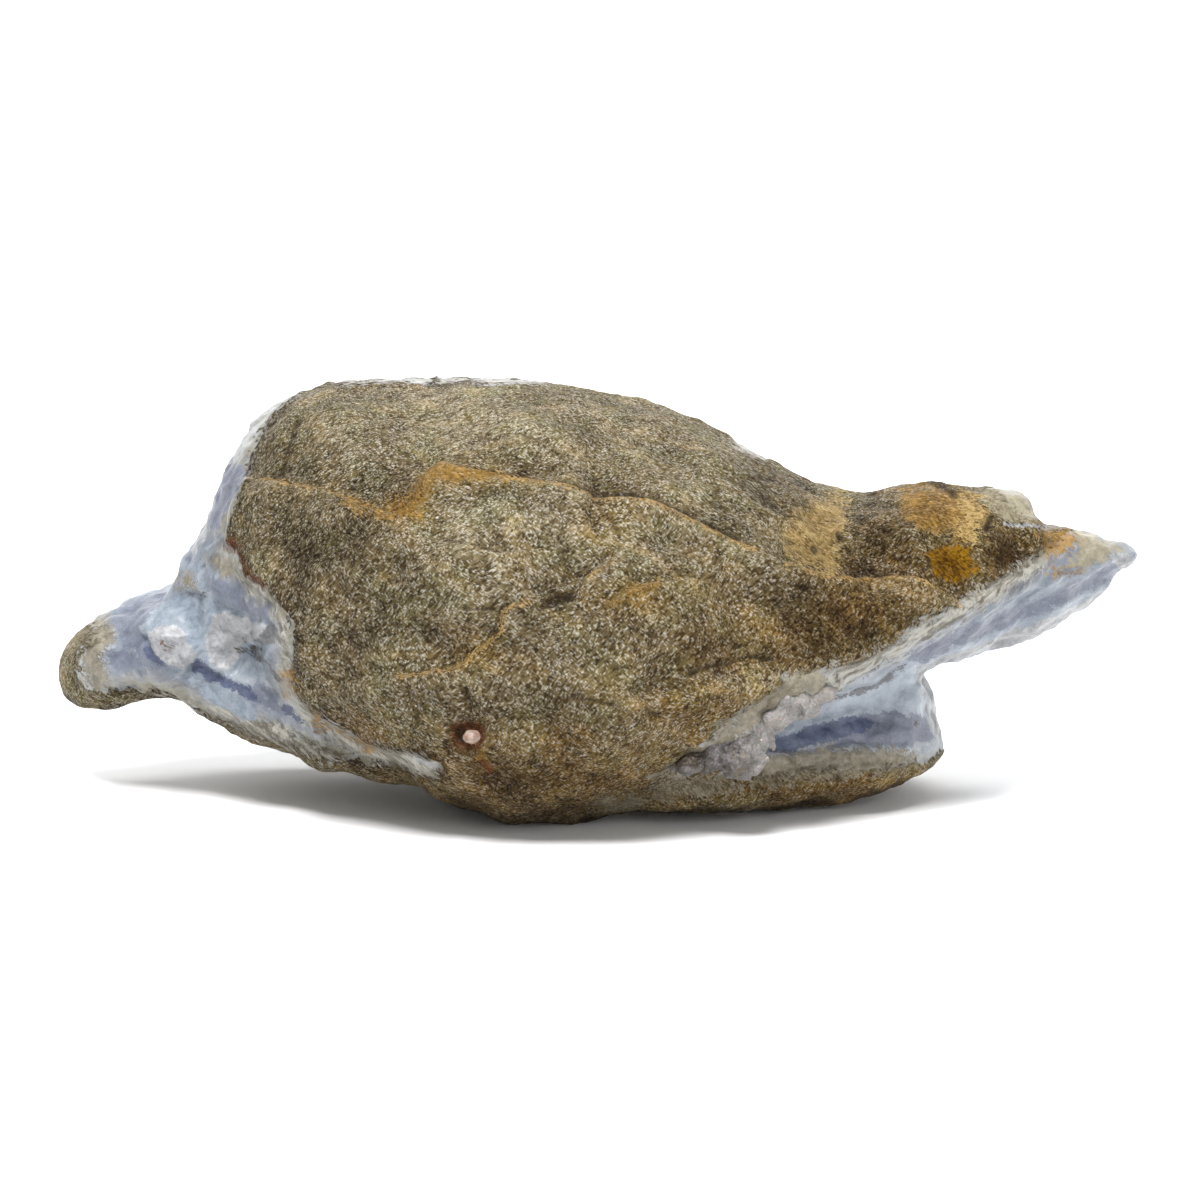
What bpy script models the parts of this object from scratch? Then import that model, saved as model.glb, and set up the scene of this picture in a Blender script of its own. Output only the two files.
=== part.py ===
"""Agate geode: a broken lump of blue chalcedony under a brown, grainy rind.

Built at its real size in metres, +Z up. The origin is at the bottom centre of the stone's bounding
box, +X runs towards the pointed end and -Y faces the viewer, where the rind covers most of the stone.
Three pieces: the stone, the sugary crust in its right-hand hollow, and a quartz bead lodged in a pit.
"""

import math

import bmesh
import bpy
import numpy as np
from mathutils import Matrix, Vector, noise

STONE_LENGTH = 0.150
MM = STONE_LENGTH / 150.0

RING_SIDES = 40
RINGS_PER_SPAN = 4
VOXEL = 0.85 * MM
SMOOTH_PASSES = 2
EASING_PASSES = 3
STONE_FACES = 7600
CRUST_FACES = 1000

# Cross-sections along the length, in millimetres: x, top, bottom, front, back, lean, roundness.
# Lean carries the top of the section backwards and the bottom half as far forwards. Roundness 1 is an
# ellipse and less is squarer.
DOME_AND_BEAK = (
    (-59.0, 31.0, 20.0, -2.0, 12.0, 1.0, 0.9),
    (-56.5, 36.5, 15.5, -6.0, 19.0, 1.5, 0.85),
    (-51.0, 48.9, 12.5, -11.0, 25.0, 2.0, 0.8),
    (-45.5, 54.0, 11.0, -18.0, 28.0, 3.0, 0.8),
    (-39.5, 56.7, 10.0, -23.0, 30.0, 5.0, 0.8),
    (-30.5, 57.2, 8.0, -27.0, 32.0, 7.0, 0.8),
    (-23.0, 57.2, 2.4, -31.0, 33.0, 8.0, 0.85),
    (-18.0, 57.3, 1.6, -33.0, 34.0, 8.0, 0.88),
    (-13.0, 57.6, -0.8, -34.0, 34.0, 8.0, 0.88),
    (-5.5, 56.6, -1.2, -34.0, 34.0, 8.0, 0.88),
    (3.0, 54.7, 0.0, -33.0, 33.0, 8.0, 0.9),
    (11.0, 52.5, 3.0, -31.0, 31.0, 7.0, 0.9),
    (19.5, 48.3, 7.0, -28.0, 29.0, 6.0, 0.8),
    (28.0, 43.8, 12.0, -25.0, 26.0, 5.0, 0.8),
    (35.0, 40.7, 15.5, -22.0, 23.0, 4.0, 0.85),
    (41.5, 42.7, 18.0, -19.0, 21.0, 3.0, 0.85),
    (48.5, 43.4, 18.3, -16.0, 19.0, 2.0, 0.85),
    (54.0, 43.0, 18.9, -13.0, 17.0, 1.0, 0.85),
    (57.5, 42.3, 19.6, -11.0, 15.5, 0.7, 0.85),
    (59.8, 41.2, 20.0, -10.0, 14.5, 0.5, 0.85),
    (60.3, 37.2, 20.2, -9.5, 13.5, 0.2, 0.85),
    (63.5, 37.9, 20.8, -8.5, 12.0, 0.0, 0.85),
    (67.0, 37.8, 22.4, -6.0, 12.0, 0.0, 0.85),
    (72.5, 35.9, 24.6, -2.0, 10.0, 0.0, 0.9),
    (76.0, 33.8, 28.0, 0.5, 6.5, 0.0, 1.0),
)
LEDGE = (
    (0.0, 14.0, 1.4, -22.0, 15.0, 0.0, 0.7),
    (11.0, 15.0, 1.0, -22.0, 18.0, 0.0, 0.7),
    (19.5, 16.0, 0.2, -21.0, 20.0, 0.0, 0.7),
    (28.0, 17.0, 0.2, -19.0, 20.0, 0.0, 0.7),
    (35.0, 18.5, 1.6, -16.0, 19.0, 0.0, 0.7),
    (42.0, 18.5, 3.2, -12.0, 17.0, 0.0, 0.7),
    (45.6, 16.5, 4.2, -8.0, 14.0, 0.0, 0.7),
    (47.8, 13.0, 6.8, -3.0, 10.0, 0.0, 0.8),
)
TAIL = (
    (-76.8, 16.6, 12.2, 5.0, 12.0, 0.0, 0.9),
    (-73.5, 23.0, 9.8, 0.0, 17.0, 0.0, 0.8),
    (-70.0, 25.2, 10.8, -3.0, 20.0, 0.0, 0.8),
    (-64.0, 26.0, 12.1, -5.0, 21.0, 0.0, 0.8),
    (-58.5, 29.0, 12.3, -8.0, 23.0, 0.0, 0.8),
    (-53.0, 26.0, 9.8, -11.0, 24.0, 0.0, 0.75),
    (-44.5, 19.0, 7.0, -15.0, 25.0, 0.0, 0.7),
    (-36.0, 15.0, 5.3, -18.0, 25.0, 0.0, 0.7),
    (-26.0, 14.0, 3.6, -20.0, 22.0, 0.0, 0.7),
    (-12.0, 14.0, 7.0, -16.0, 15.0, 0.0, 0.8),
)

# Fracture planes: a point on the plane in millimetres, and the way the broken face looks.
DOME_BREAKS = (
    ((14.0, -27.0, 12.2), (0.48, -0.52, -0.70)),
    ((-43.0, -19.0, 20.0), (-0.66, -0.42, -0.62)),
    ((-51.3, -8.0, 45.0), (-0.86, -0.42, 0.28)),
    ((-54.0, 14.0, 40.0), (-0.88, 0.42, 0.10)),
    ((-10.0, 27.0, 30.0), (0.04, 0.98, 0.18)),
    ((30.0, 20.0, 30.0), (0.31, 0.94, 0.12)),
    ((0.0, 28.0, 9.0), (0.10, 0.72, -0.68)),
    ((-40.0, 22.0, 22.0), (-0.45, 0.82, -0.30)),
)
LEDGE_BREAKS = (
    ((46.2, -6.0, 12.0), (0.90, -0.28, 0.22)),
    ((43.9, -8.0, 4.5), (0.66, -0.30, -0.70)),
    ((30.0, 17.0, 8.0), (0.25, 0.95, -0.10)),
    ((40.0, 12.0, 16.0), (0.30, 0.60, 0.72)),
)
TAIL_BREAKS = (
    ((-66.0, 14.0, 20.0), (-0.45, 0.85, 0.10)),
    ((-50.0, 21.0, 15.0), (0.05, 0.95, -0.25)),
)


# The rind's outline as the viewer sees it, x and z in millimetres, and how far it stands proud.
RIND_OUTLINE = (
    (-44.5, 54.5), (-48.8, 45.6), (-50.5, 37.5), (-48.4, 33.5), (-43.2, 29.8), (-41.1, 24.8),
    (-39.9, 19.3), (-34.7, 13.7), (-25.5, 7.0), (-20.0, -9.0), (-3.0, -9.0), (-2.5, 4.5),
    (6.6, 7.0), (10.5, 11.5), (15.7, 14.7), (25.0, 20.3), (33.1, 23.0), (40.0, 24.2), (48.0, 27.0),
    (54.0, 31.0), (62.0, 34.5), (65.5, 36.5), (62.0, 46.0), (36.0, 50.0), (20.0, 62.0), (-30.0, 70.0),
)
UNDERSIDE = 10.0
RIND_STEP = 0.9
RIND_EDGE = 0.8

# Ledges and grooves of the rind: height, width, then x and z of each corner, in millimetres.
# A ledge is a thin lit shelf: the skin below it stands proud, the skin above it lies back.
LEDGES = (
    (1.6, 5.0, ((-50.0, 45.6), (-39.8, 45.5), (-27.5, 43.7), (-22.4, 48.6), (-10.5, 47.8), (0.0, 46.2),
                (7.9, 44.8), (18.5, 39.5), (26.4, 36.0), (33.2, 33.8), (39.9, 32.3), (48.2, 30.4))),
    (1.1, 4.0, ((-31.4, 21.9), (-20.7, 24.3), (-14.2, 27.7), (-12.3, 32.7), (-1.3, 36.2), (4.0, 38.5))),
    (0.6, 3.5, ((-22.0, 39.5), (-15.0, 38.0), (-7.0, 38.8))),
    (0.8, 4.5, ((-7.0, 22.5), (4.0, 21.2), (13.0, 22.6), (20.0, 24.3), (26.0, 25.2))),
)
GROOVES = (
    (0.9, 1.2, ((16.0, 25.6), (25.5, 24.9))),
    (0.8, 1.6, ((-38.5, 56.5), (-40.5, 50.0), (-41.8, 46.0))),
    (0.7, 1.4, ((-1.0, 46.0), (-2.0, 40.0), (1.5, 37.0))),
    (0.8, 1.6, ((-22.5, 27.5), (-18.5, 22.0), (-17.5, 17.0))),
    (1.4, 2.4, ((29.0, 41.0), (33.0, 37.5), (37.0, 34.5))),
)
LEDGE_SLOPE = 0.7
WANDER_SIZE = 7.0
WANDER = 2.2

# Lumps and hollows of the skin: x, y, z, reach and height in millimetres, a hollow's height below 0.
LUMPS = (
    (7.8, -30.6, 31.0, 7.5, 1.4),
    (0.0, -34.9, 15.0, 6.5, 0.9),
    (-11.0, -33.0, 6.0, 6.0, 0.3),
    (-30.0, -26.0, 36.0, 9.0, 1.0),
    (-25.0, -29.0, 17.0, 7.0, 1.0),
    (17.0, -20.0, 46.0, 7.0, 1.2),
    (43.0, -9.0, 40.0, 5.0, 0.9),
    (52.0, -11.0, 35.5, 4.0, 0.8),
    (-6.5, -32.1, 33.3, 3.4, -1.5),
    (-16.6, -34.6, 15.6, 2.6, -0.9),
    (-20.0, -33.0, 28.5, 4.5, -1.2),
    (19.0, -27.0, 32.0, 5.0, -1.1),
    (46.9, -15.3, 35.1, 2.6, -1.0),
    (55.4, -10.8, 36.4, 2.0, -0.9),
    (30.0, -19.0, 27.0, 5.0, -0.9),
    (-49.0, -13.0, 24.5, 5.0, -2.0),
    (-52.5, -10.5, 19.0, 4.5, -1.6),
    (-61.0, -6.0, 24.5, 5.0, 1.0),
    (30.0, -17.0, 13.0, 5.0, -2.4),
    (37.0, -13.0, 14.0, 4.0, -2.0),
    (-12.0, 27.0, 33.0, 13.0, -5.0),
    (-27.0, 27.0, 38.0, 8.0, -2.5),
    (5.0, 25.0, 26.0, 8.0, -2.5),
    (-15.0, 22.0, 30.0, 3.6, 1.8),
    (-9.0, 22.0, 36.0, 3.2, 1.5),
    (-20.0, 22.5, 37.0, 3.0, 1.4),
    (-3.0, 23.0, 28.0, 3.0, 1.5),
    (33.0, 19.0, 33.0, 7.0, -1.6),
)
RIND_ROUGHNESS = ((14.0, 0.9), (6.0, 0.55), (2.6, 0.28))
CHIP_SIZE = 9.0
CHIP_DEPTH = 1.5

# The sugary lumps of the right-hand hollow: centre x, y, z and radii, in millimetres.
CRUST_LUMPS = (
    (18.6, -26.2, 11.2, 3.9, 2.7, 3.0),
    (15.2, -25.6, 12.8, 2.4, 2.2, 2.2),
    (14.0, -25.4, 10.6, 2.4, 2.0, 1.8),
    (11.4, -25.0, 10.0, 2.2, 1.6, 1.5),
    (17.2, -26.2, 16.0, 2.0, 1.8, 1.8),
    (20.4, -26.0, 14.6, 2.2, 2.0, 1.8),
    (19.2, -26.0, 18.6, 1.9, 1.7, 1.6),
    (22.4, -25.2, 16.4, 2.9, 2.3, 2.4),
    (22.4, -25.4, 20.0, 2.0, 1.7, 1.6),
    (25.4, -24.6, 18.0, 3.8, 2.3, 2.6),
    (25.6, -24.9, 21.6, 1.9, 1.6, 1.5),
    (29.0, -22.2, 19.2, 2.8, 2.1, 2.1),
    (29.4, -22.0, 21.8, 1.8, 1.6, 1.3),
    (21.6, -22.8, 12.6, 2.4, 2.0, 1.6),
)
CRUST_VOXEL = 0.5 * MM
CRUST_GRAIN = 1.7
CRUST_BUMPS = 0.9
PIECE_GAP = 0.3 * MM

# The quartz bead, and the pit it sits in.
BEAD_CENTRE = (-16.6, -33.0, 15.4)
BEAD_RADII = (1.2, 1.0, 0.9)

RIND_COLOUR = (0.20, 0.155, 0.105)
RIND_GLOSS = 0.75
CRUST_COLOUR = (0.62, 0.61, 0.63)
CRUST_GLOSS = 0.45
BEAD_COLOUR = (0.70, 0.50, 0.42)
BEAD_GLOSS = 0.35


def clear_scene():
    """Start from nothing, whatever scene the script is run in."""
    for thing in list(bpy.data.objects):
        bpy.data.objects.remove(thing, do_unlink=True)


def make_collections():
    """One collection for the stone's pieces, and a hidden one for cutters."""
    pieces = bpy.data.collections.new("agate_geode")
    cutters = bpy.data.collections.new("cutters")
    for collection in (pieces, cutters):
        bpy.context.scene.collection.children.link(collection)
    cutters.hide_render = True
    return pieces, cutters


def bake(thing):
    """Turn the object's modifiers into its own mesh."""
    shown = thing.evaluated_get(bpy.context.evaluated_depsgraph_get())
    mesh = bpy.data.meshes.new_from_object(shown)
    thing.modifiers.clear()
    old, thing.data = thing.data, mesh
    bpy.data.meshes.remove(old)
    mesh.name = thing.name


def section_ring(x, top, bottom, front, back, lean, roundness):
    """The points of one cross-section, a squared ellipse in the YZ plane."""
    turn = np.linspace(0.0, 2.0 * math.pi, RING_SIDES, endpoint=False)
    across = np.sign(np.cos(turn)) * np.abs(np.cos(turn)) ** roundness
    up = np.sign(np.sin(turn)) * np.abs(np.sin(turn)) ** roundness
    y = (front + back) / 2 + (back - front) / 2 * across + lean * np.maximum(up, up / 2)
    z = (top + bottom) / 2 + (top - bottom) / 2 * up
    return np.column_stack([np.full(RING_SIDES, x), y, z]) * MM


def loft(sections, breaks):
    """A closed skin through unlike cross-sections, broken off along planes, as a bmesh."""
    table = np.array(sections, float)
    at = np.linspace(0, len(table) - 1, (len(table) - 1) * RINGS_PER_SPAN + 1)
    eased = np.column_stack([np.interp(at, np.arange(len(table)), column) for column in table.T])
    for _ in range(EASING_PASSES):
        eased[1:-1] = (eased[:-2] + 2 * eased[1:-1] + eased[2:]) / 4
    mesh = bmesh.new()
    rings = [[mesh.verts.new(point) for point in section_ring(*row)] for row in eased]
    for near, far in zip(rings, rings[1:]):
        for i in range(RING_SIDES):
            j = (i + 1) % RING_SIDES
            mesh.faces.new((near[i], near[j], far[j], far[i]))
    mesh.faces.new(rings[0][::-1])
    mesh.faces.new(rings[-1])
    bmesh.ops.recalc_face_normals(mesh, faces=mesh.faces)
    for point, normal in breaks:
        everything = mesh.verts[:] + mesh.edges[:] + mesh.faces[:]
        cut = bmesh.ops.bisect_plane(
            mesh, geom=everything, plane_co=Vector(point) * MM, plane_no=normal, clear_outer=True
        )
        rim = [thing for thing in cut["geom_cut"] if isinstance(thing, bmesh.types.BMEdge)]
        bmesh.ops.holes_fill(mesh, edges=rim)
    return mesh


def rough_stone(collection):
    """The masses of the stone, melted into one skin."""
    mesh = bpy.data.meshes.new("stone")
    whole = bmesh.new()
    for sections, breaks in ((DOME_AND_BEAK, DOME_BREAKS), (LEDGE, LEDGE_BREAKS), (TAIL, TAIL_BREAKS)):
        mass = loft(sections, breaks)
        part = bpy.data.meshes.new("mass")
        mass.to_mesh(part)
        mass.free()
        whole.from_mesh(part)
        bpy.data.meshes.remove(part)
    whole.to_mesh(mesh)
    whole.free()
    stone = bpy.data.objects.new("stone", mesh)
    collection.objects.link(stone)
    melt(stone, VOXEL, SMOOTH_PASSES)
    return stone


def melt(thing, voxel, passes):
    """Melt overlapping masses into one smooth skin."""
    remesh = thing.modifiers.new("melt", "REMESH")
    remesh.mode = "VOXEL"
    remesh.voxel_size = voxel
    ease = thing.modifiers.new("ease", "SMOOTH")
    ease.factor = 0.5
    ease.iterations = passes
    bake(thing)


def thin_out(thing, faces):
    """Bring the triangle count down, keeping the corners and the relief."""
    thing.data.calc_loop_triangles()
    thin = thing.modifiers.new("thin", "DECIMATE")
    thin.ratio = faces / len(thing.data.loop_triangles)
    bake(thing)


def away_from_line(spots, line):
    """Each spot's distance to a line of corners, and how far it is above (or below) the line."""
    nearest = np.full(len(spots), np.inf)
    above = np.zeros(len(spots))
    corners = np.array(line, float)
    for start, end in zip(corners, corners[1:]):
        run = end - start
        along = np.clip((spots - start) @ run / (run @ run), 0.0, 1.0)
        offset = spots - start - along[:, None] * run
        distance = np.hypot(offset[:, 0], offset[:, 1])
        closer = distance < nearest
        side = np.sign(run[0] * offset[:, 1] - run[1] * offset[:, 0])
        nearest = np.where(closer, distance, nearest)
        above = np.where(closer, side * distance, above)
    return nearest, above


def inside_outline(spots, outline):
    """Which spots lie inside a closed outline."""
    inside = np.zeros(len(spots), bool)
    corners = np.array(outline, float)
    for (x1, z1), (x2, z2) in zip(corners, np.roll(corners, -1, axis=0)):
        crosses = (spots[:, 1] < z1) != (spots[:, 1] < z2)
        with np.errstate(divide="ignore", invalid="ignore"):
            at = x1 + (spots[:, 1] - z1) * (x2 - x1) / (z2 - z1)
        inside ^= crosses & (spots[:, 0] < at)
    return inside


def rind_cover(places, normals):
    """1 where the rind covers the stone, 0 on broken agate, with a narrow slope between."""
    spots = places[:, [0, 2]]
    distance, _ = away_from_line(spots, RIND_OUTLINE + RIND_OUTLINE[:1])
    signed = np.where(inside_outline(spots, RIND_OUTLINE), distance, -distance)
    front = np.clip(0.5 - 3.0 * normals[:, 1], 0.0, 1.0) * np.clip(0.5 + signed / RIND_EDGE, 0.0, 1.0)
    under = np.clip(-2.0 * normals[:, 2], 0.0, 1.0) * np.clip(0.5 * (UNDERSIDE - places[:, 2]), 0.0, 1.0)
    return np.maximum(front, under)


def wander(places):
    """A sideways shift in x and z that keeps ledges and grooves from running straight."""
    spots = [Vector(place) / WANDER_SIZE for place in places]
    aside = [noise.noise(spot) for spot in spots]
    upward = [noise.noise(spot + Vector((0.0, 0.0, 20.0))) for spot in spots]
    return np.column_stack([aside, upward]) * WANDER


def relief(places, normals):
    """How far each point of the skin is raised along its normal, in millimetres."""
    spots = places[:, [0, 2]]
    rind = rind_cover(places, normals)
    raised = RIND_STEP * (rind - 0.5)
    spots = spots + wander(places)
    for height, width, line in LEDGES:
        distance, above = away_from_line(spots, line)
        drop = -0.5 * height * np.tanh(above / LEDGE_SLOPE)
        raised += rind * drop * np.exp(-((distance / width) ** 2))
    for depth, width, line in GROOVES:
        distance, _ = away_from_line(spots, line)
        raised -= rind * depth * np.exp(-((distance / width) ** 2))
    for x, y, z, reach, height in LUMPS:
        distance = np.linalg.norm(places - (x, y, z), axis=1)
        raised += height * np.exp(-((distance / reach) ** 2))
    vectors = [Vector(place) for place in places]
    for size, height in RIND_ROUGHNESS:
        lumps = np.array([noise.noise(place / size) for place in vectors])
        raised += lumps * height * (0.4 + 0.6 * rind)
    chips = np.array([noise.voronoi(place / CHIP_SIZE)[0][0] for place in vectors])
    return raised + (1.0 - rind) * CHIP_DEPTH * (chips - 0.5)


def outward(places, quads):
    """Each point's normal, from the faces around it."""
    across = places[quads[:, 2]] - places[quads[:, 0]]
    along = places[quads[:, 3]] - places[quads[:, 1]]
    facing = np.cross(across, along)
    normals = np.zeros_like(places)
    for corner in range(4):
        np.add.at(normals, quads[:, corner], facing)
    return normals / np.linalg.norm(normals, axis=1)[:, None]


def sculpt(stone):
    """Give the skin its ledges, grooves, lumps, hollows and chips."""
    mesh = stone.data
    places = np.array([tuple(vert.co) for vert in mesh.vertices]) / MM
    quads = np.array([tuple(face.vertices) for face in mesh.polygons])
    normals = outward(places, quads)
    moved = places + normals * relief(places, normals)[:, None]
    mesh.vertices.foreach_set("co", (moved * MM).ravel())
    mesh.update()


def ball(name, centre, radii, collection, rings=8):
    """A squashed ball of the given radii."""
    mesh = bmesh.new()
    bmesh.ops.create_uvsphere(mesh, u_segments=2 * rings, v_segments=rings, radius=1.0)
    for vert in mesh.verts:
        vert.co = Vector(c + r * u for c, r, u in zip(centre, radii, vert.co)) * MM
    data = bpy.data.meshes.new(name)
    mesh.to_mesh(data)
    mesh.free()
    thing = bpy.data.objects.new(name, data)
    collection.objects.link(thing)
    return thing


def cut_away(thing, cutter, folded=False):
    """Subtract the cutter from the thing, with care where the cutter's skin is folded."""
    cutter.display_type = "WIRE"
    cut = thing.modifiers.new("cut", "BOOLEAN")
    cut.operation = "DIFFERENCE"
    cut.solver = "EXACT"
    cut.use_self = folded
    cut.object = cutter
    bake(thing)


def cut_base(thing, cutters):
    """Slice the lowest bumps off level, so the stone has a flat spot to rest on at z = 0."""
    mesh = bmesh.new()
    bmesh.ops.create_cube(mesh, size=2 * STONE_LENGTH)
    data = bpy.data.meshes.new("ground_block")
    mesh.to_mesh(data)
    mesh.free()
    data.transform(Matrix.Translation((0.0, 0.0, -STONE_LENGTH)))
    block = bpy.data.objects.new("ground_block", data)
    cutters.objects.link(block)
    cut_away(thing, block)


def keep_largest(thing):
    """Drop the loose crumbs a cut leaves, and keep the largest body."""
    mesh = bmesh.new()
    mesh.from_mesh(thing.data)
    bodies = []
    waiting = set(mesh.verts)
    while waiting:
        body = set()
        reached = [waiting.pop()]
        while reached:
            vert = reached.pop()
            body.add(vert)
            for side in vert.link_edges:
                other = side.other_vert(vert)
                if other in waiting:
                    waiting.remove(other)
                    reached.append(other)
        bodies.append(body)
    largest = max(bodies, key=len)
    crumbs = [vert for vert in mesh.verts if vert not in largest]
    bmesh.ops.delete(mesh, geom=crumbs, context="VERTS")
    mesh.to_mesh(thing.data)
    mesh.free()


def seat_bead(stone, pieces, cutters):
    """The quartz bead, and its pit in the stone with a thin gap around it."""
    bead = ball("quartz_bead", BEAD_CENTRE, BEAD_RADII, pieces)
    gap = PIECE_GAP / MM
    pit = ball("bead_pit", BEAD_CENTRE, [radius + gap for radius in BEAD_RADII], cutters)
    cut_away(stone, pit)
    return bead


def swollen_copy(thing, collection):
    """A copy of the thing, swollen by the gap that touching pieces keep."""
    mesh = bmesh.new()
    mesh.from_mesh(thing.data)
    mesh.normal_update()
    swollen = [vert.co + vert.normal * PIECE_GAP for vert in mesh.verts]
    for vert, place in zip(mesh.verts, swollen):
        vert.co = place
    data = bpy.data.meshes.new("stone_clearance")
    mesh.to_mesh(data)
    mesh.free()
    copy = bpy.data.objects.new("stone_clearance", data)
    collection.objects.link(copy)
    return copy


def grow_crust(stone, pieces, cutters):
    """The sugary crust of the right-hand hollow: lumps grown together over the stone's surface."""
    lumps = [ball("lump", row[:3], row[3:], cutters) for row in CRUST_LUMPS]
    crust = bpy.data.objects.new("hollow_crust", bpy.data.meshes.new("hollow_crust"))
    pieces.objects.link(crust)
    whole = bmesh.new()
    for lump in lumps:
        whole.from_mesh(lump.data)
        bpy.data.objects.remove(lump, do_unlink=True)
    whole.to_mesh(crust.data)
    whole.free()
    melt(crust, CRUST_VOXEL, 1)
    for vert in crust.data.vertices:
        sugar = noise.noise(vert.co / (CRUST_GRAIN * MM))
        vert.co += vert.normal * sugar * CRUST_BUMPS * MM
    thin_out(crust, CRUST_FACES)
    cut_away(crust, swollen_copy(stone, cutters), folded=True)
    keep_largest(crust)
    return crust


def paint(thing, name, colour, roughness):
    """Give the piece a material of its own."""
    material = bpy.data.materials.new(name)
    material.use_nodes = True
    shader = material.node_tree.nodes["Principled BSDF"]
    shader.inputs["Base Color"].default_value = (*colour, 1.0)
    shader.inputs["Roughness"].default_value = roughness
    shader.inputs["Metallic"].default_value = 0.0
    material.diffuse_color = (*colour, 1.0)
    thing.data.materials.clear()
    thing.data.materials.append(material)


def centre_on_base(pieces, cutters):
    """Put the origin at the bottom centre of the pieces' shared bounding box."""
    corners = np.array([tuple(vert.co) for piece in pieces.objects for vert in piece.data.vertices])
    low, high = corners.min(axis=0), corners.max(axis=0)
    shift = Matrix.Translation((-(low[0] + high[0]) / 2, -(low[1] + high[1]) / 2, -low[2]))
    for thing in list(pieces.objects) + list(cutters.objects):
        thing.data.transform(shift)


def main():
    """Build the three pieces, then centre and paint them."""
    clear_scene()
    pieces, cutters = make_collections()
    stone = rough_stone(pieces)
    sculpt(stone)
    melt(stone, VOXEL, 1)
    thin_out(stone, STONE_FACES)
    cut_base(stone, cutters)
    keep_largest(stone)
    bead = seat_bead(stone, pieces, cutters)
    crust = grow_crust(stone, pieces, cutters)
    centre_on_base(pieces, cutters)
    paint(stone, "brown_rind", RIND_COLOUR, RIND_GLOSS)
    paint(crust, "sugary_quartz", CRUST_COLOUR, CRUST_GLOSS)
    paint(bead, "pink_quartz", BEAD_COLOUR, BEAD_GLOSS)


main()
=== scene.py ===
"""Looks of the agate geode: a grainy brown rind over broken, pale blue chalcedony.

The dressed stone is a finer copy of the CAD stone, in the same frame and inside the same box. Lengths are
in millimetres where a name doesn't say otherwise. Marks of the front face are placed on a front drawing,
the flat view along the sightline, 1200 steps wide and high, counted across and down from its upper left.
"""

import logging
import math
from dataclasses import dataclass
from enum import Enum, IntEnum

import bpy
import numpy as np
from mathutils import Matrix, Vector, noise

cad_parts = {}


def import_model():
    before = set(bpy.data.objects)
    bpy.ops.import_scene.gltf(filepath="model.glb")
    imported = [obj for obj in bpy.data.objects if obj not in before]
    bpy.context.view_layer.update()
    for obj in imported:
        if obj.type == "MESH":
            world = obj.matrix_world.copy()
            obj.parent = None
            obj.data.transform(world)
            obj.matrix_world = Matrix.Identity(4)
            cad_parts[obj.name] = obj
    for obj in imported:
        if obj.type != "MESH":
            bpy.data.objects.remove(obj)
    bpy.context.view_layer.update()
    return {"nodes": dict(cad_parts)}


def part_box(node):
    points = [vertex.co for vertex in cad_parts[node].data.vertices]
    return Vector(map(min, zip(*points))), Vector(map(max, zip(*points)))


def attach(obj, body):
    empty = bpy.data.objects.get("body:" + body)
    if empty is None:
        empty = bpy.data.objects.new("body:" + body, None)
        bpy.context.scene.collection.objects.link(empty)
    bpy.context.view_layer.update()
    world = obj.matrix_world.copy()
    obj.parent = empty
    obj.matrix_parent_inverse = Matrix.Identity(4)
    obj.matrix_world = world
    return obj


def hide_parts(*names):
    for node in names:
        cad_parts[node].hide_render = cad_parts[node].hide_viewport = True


LOG = logging.getLogger("agate_geode")
METRES = 0.001

Corners = tuple[tuple[float, float], ...]
Line = tuple[float, Corners]
Colour = tuple[float, float, float]
Layers = tuple[tuple[float, float], ...]
Stops = tuple[tuple[float, Colour], ...]
Socket = bpy.types.NodeSocket


class Tint(Enum):
    """Stains and layers with an edge, each a colour over the rind or the agate. Three are painted light:
    the dark painted shade in cracks, pits and hollows, the painted shadow in the agate's slots, and the
    seam's partly painted highlight.
    """

    CREAM = "cream"
    LAVENDER = "lavender"
    # Painted shadow in the slots under the agate's broken steps.
    PAINTED_SLOT_SHADOW = "deep"
    ICE = "ice"
    GREY = "grey"
    MURK = "murk"
    FIBRE = "fibre"
    WHITE = "white"
    OCHRE = "ochre"
    # Ochre lines along the ledges: partly real ochre, partly a painted highlight on the ledges' lit top
    # edges.
    SEAM = "seam_and_highlight"
    GOLD = "gold"
    AMBER = "amber"
    RUST = "rust"
    # Painted shade in cracks, pits, hollows and under ledges, and a painted contact shadow along the foot.
    DARK = "painted_shade"


class Cast(Enum):
    """Wide, soft changes of the skin without an edge: three of its colour, one of its relief. Of the
    colour ones, the dimming one is painted shade, and the paling one is partly painted light over the
    dome's top.
    """

    WARM = "warm"
    # Painted shade over the rind's low and shaded parts.
    PAINTED_SOFT_SHADE = "painted_soft_shade"
    # Paler patches: painted light over the dome's top, paler stone elsewhere.
    PALE_AND_TOP_LIGHT = "pale"
    ROUGH = "rough"


class Pattern(IntEnum):
    """Patterns of lumps and pits, each read from another part of the noise."""

    PLAIN = 0
    RUGGED = 3
    FOLDS = 5
    AGATE = 7
    ACROSS = 11
    DOWN = 17
    FRAY = 23


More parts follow.
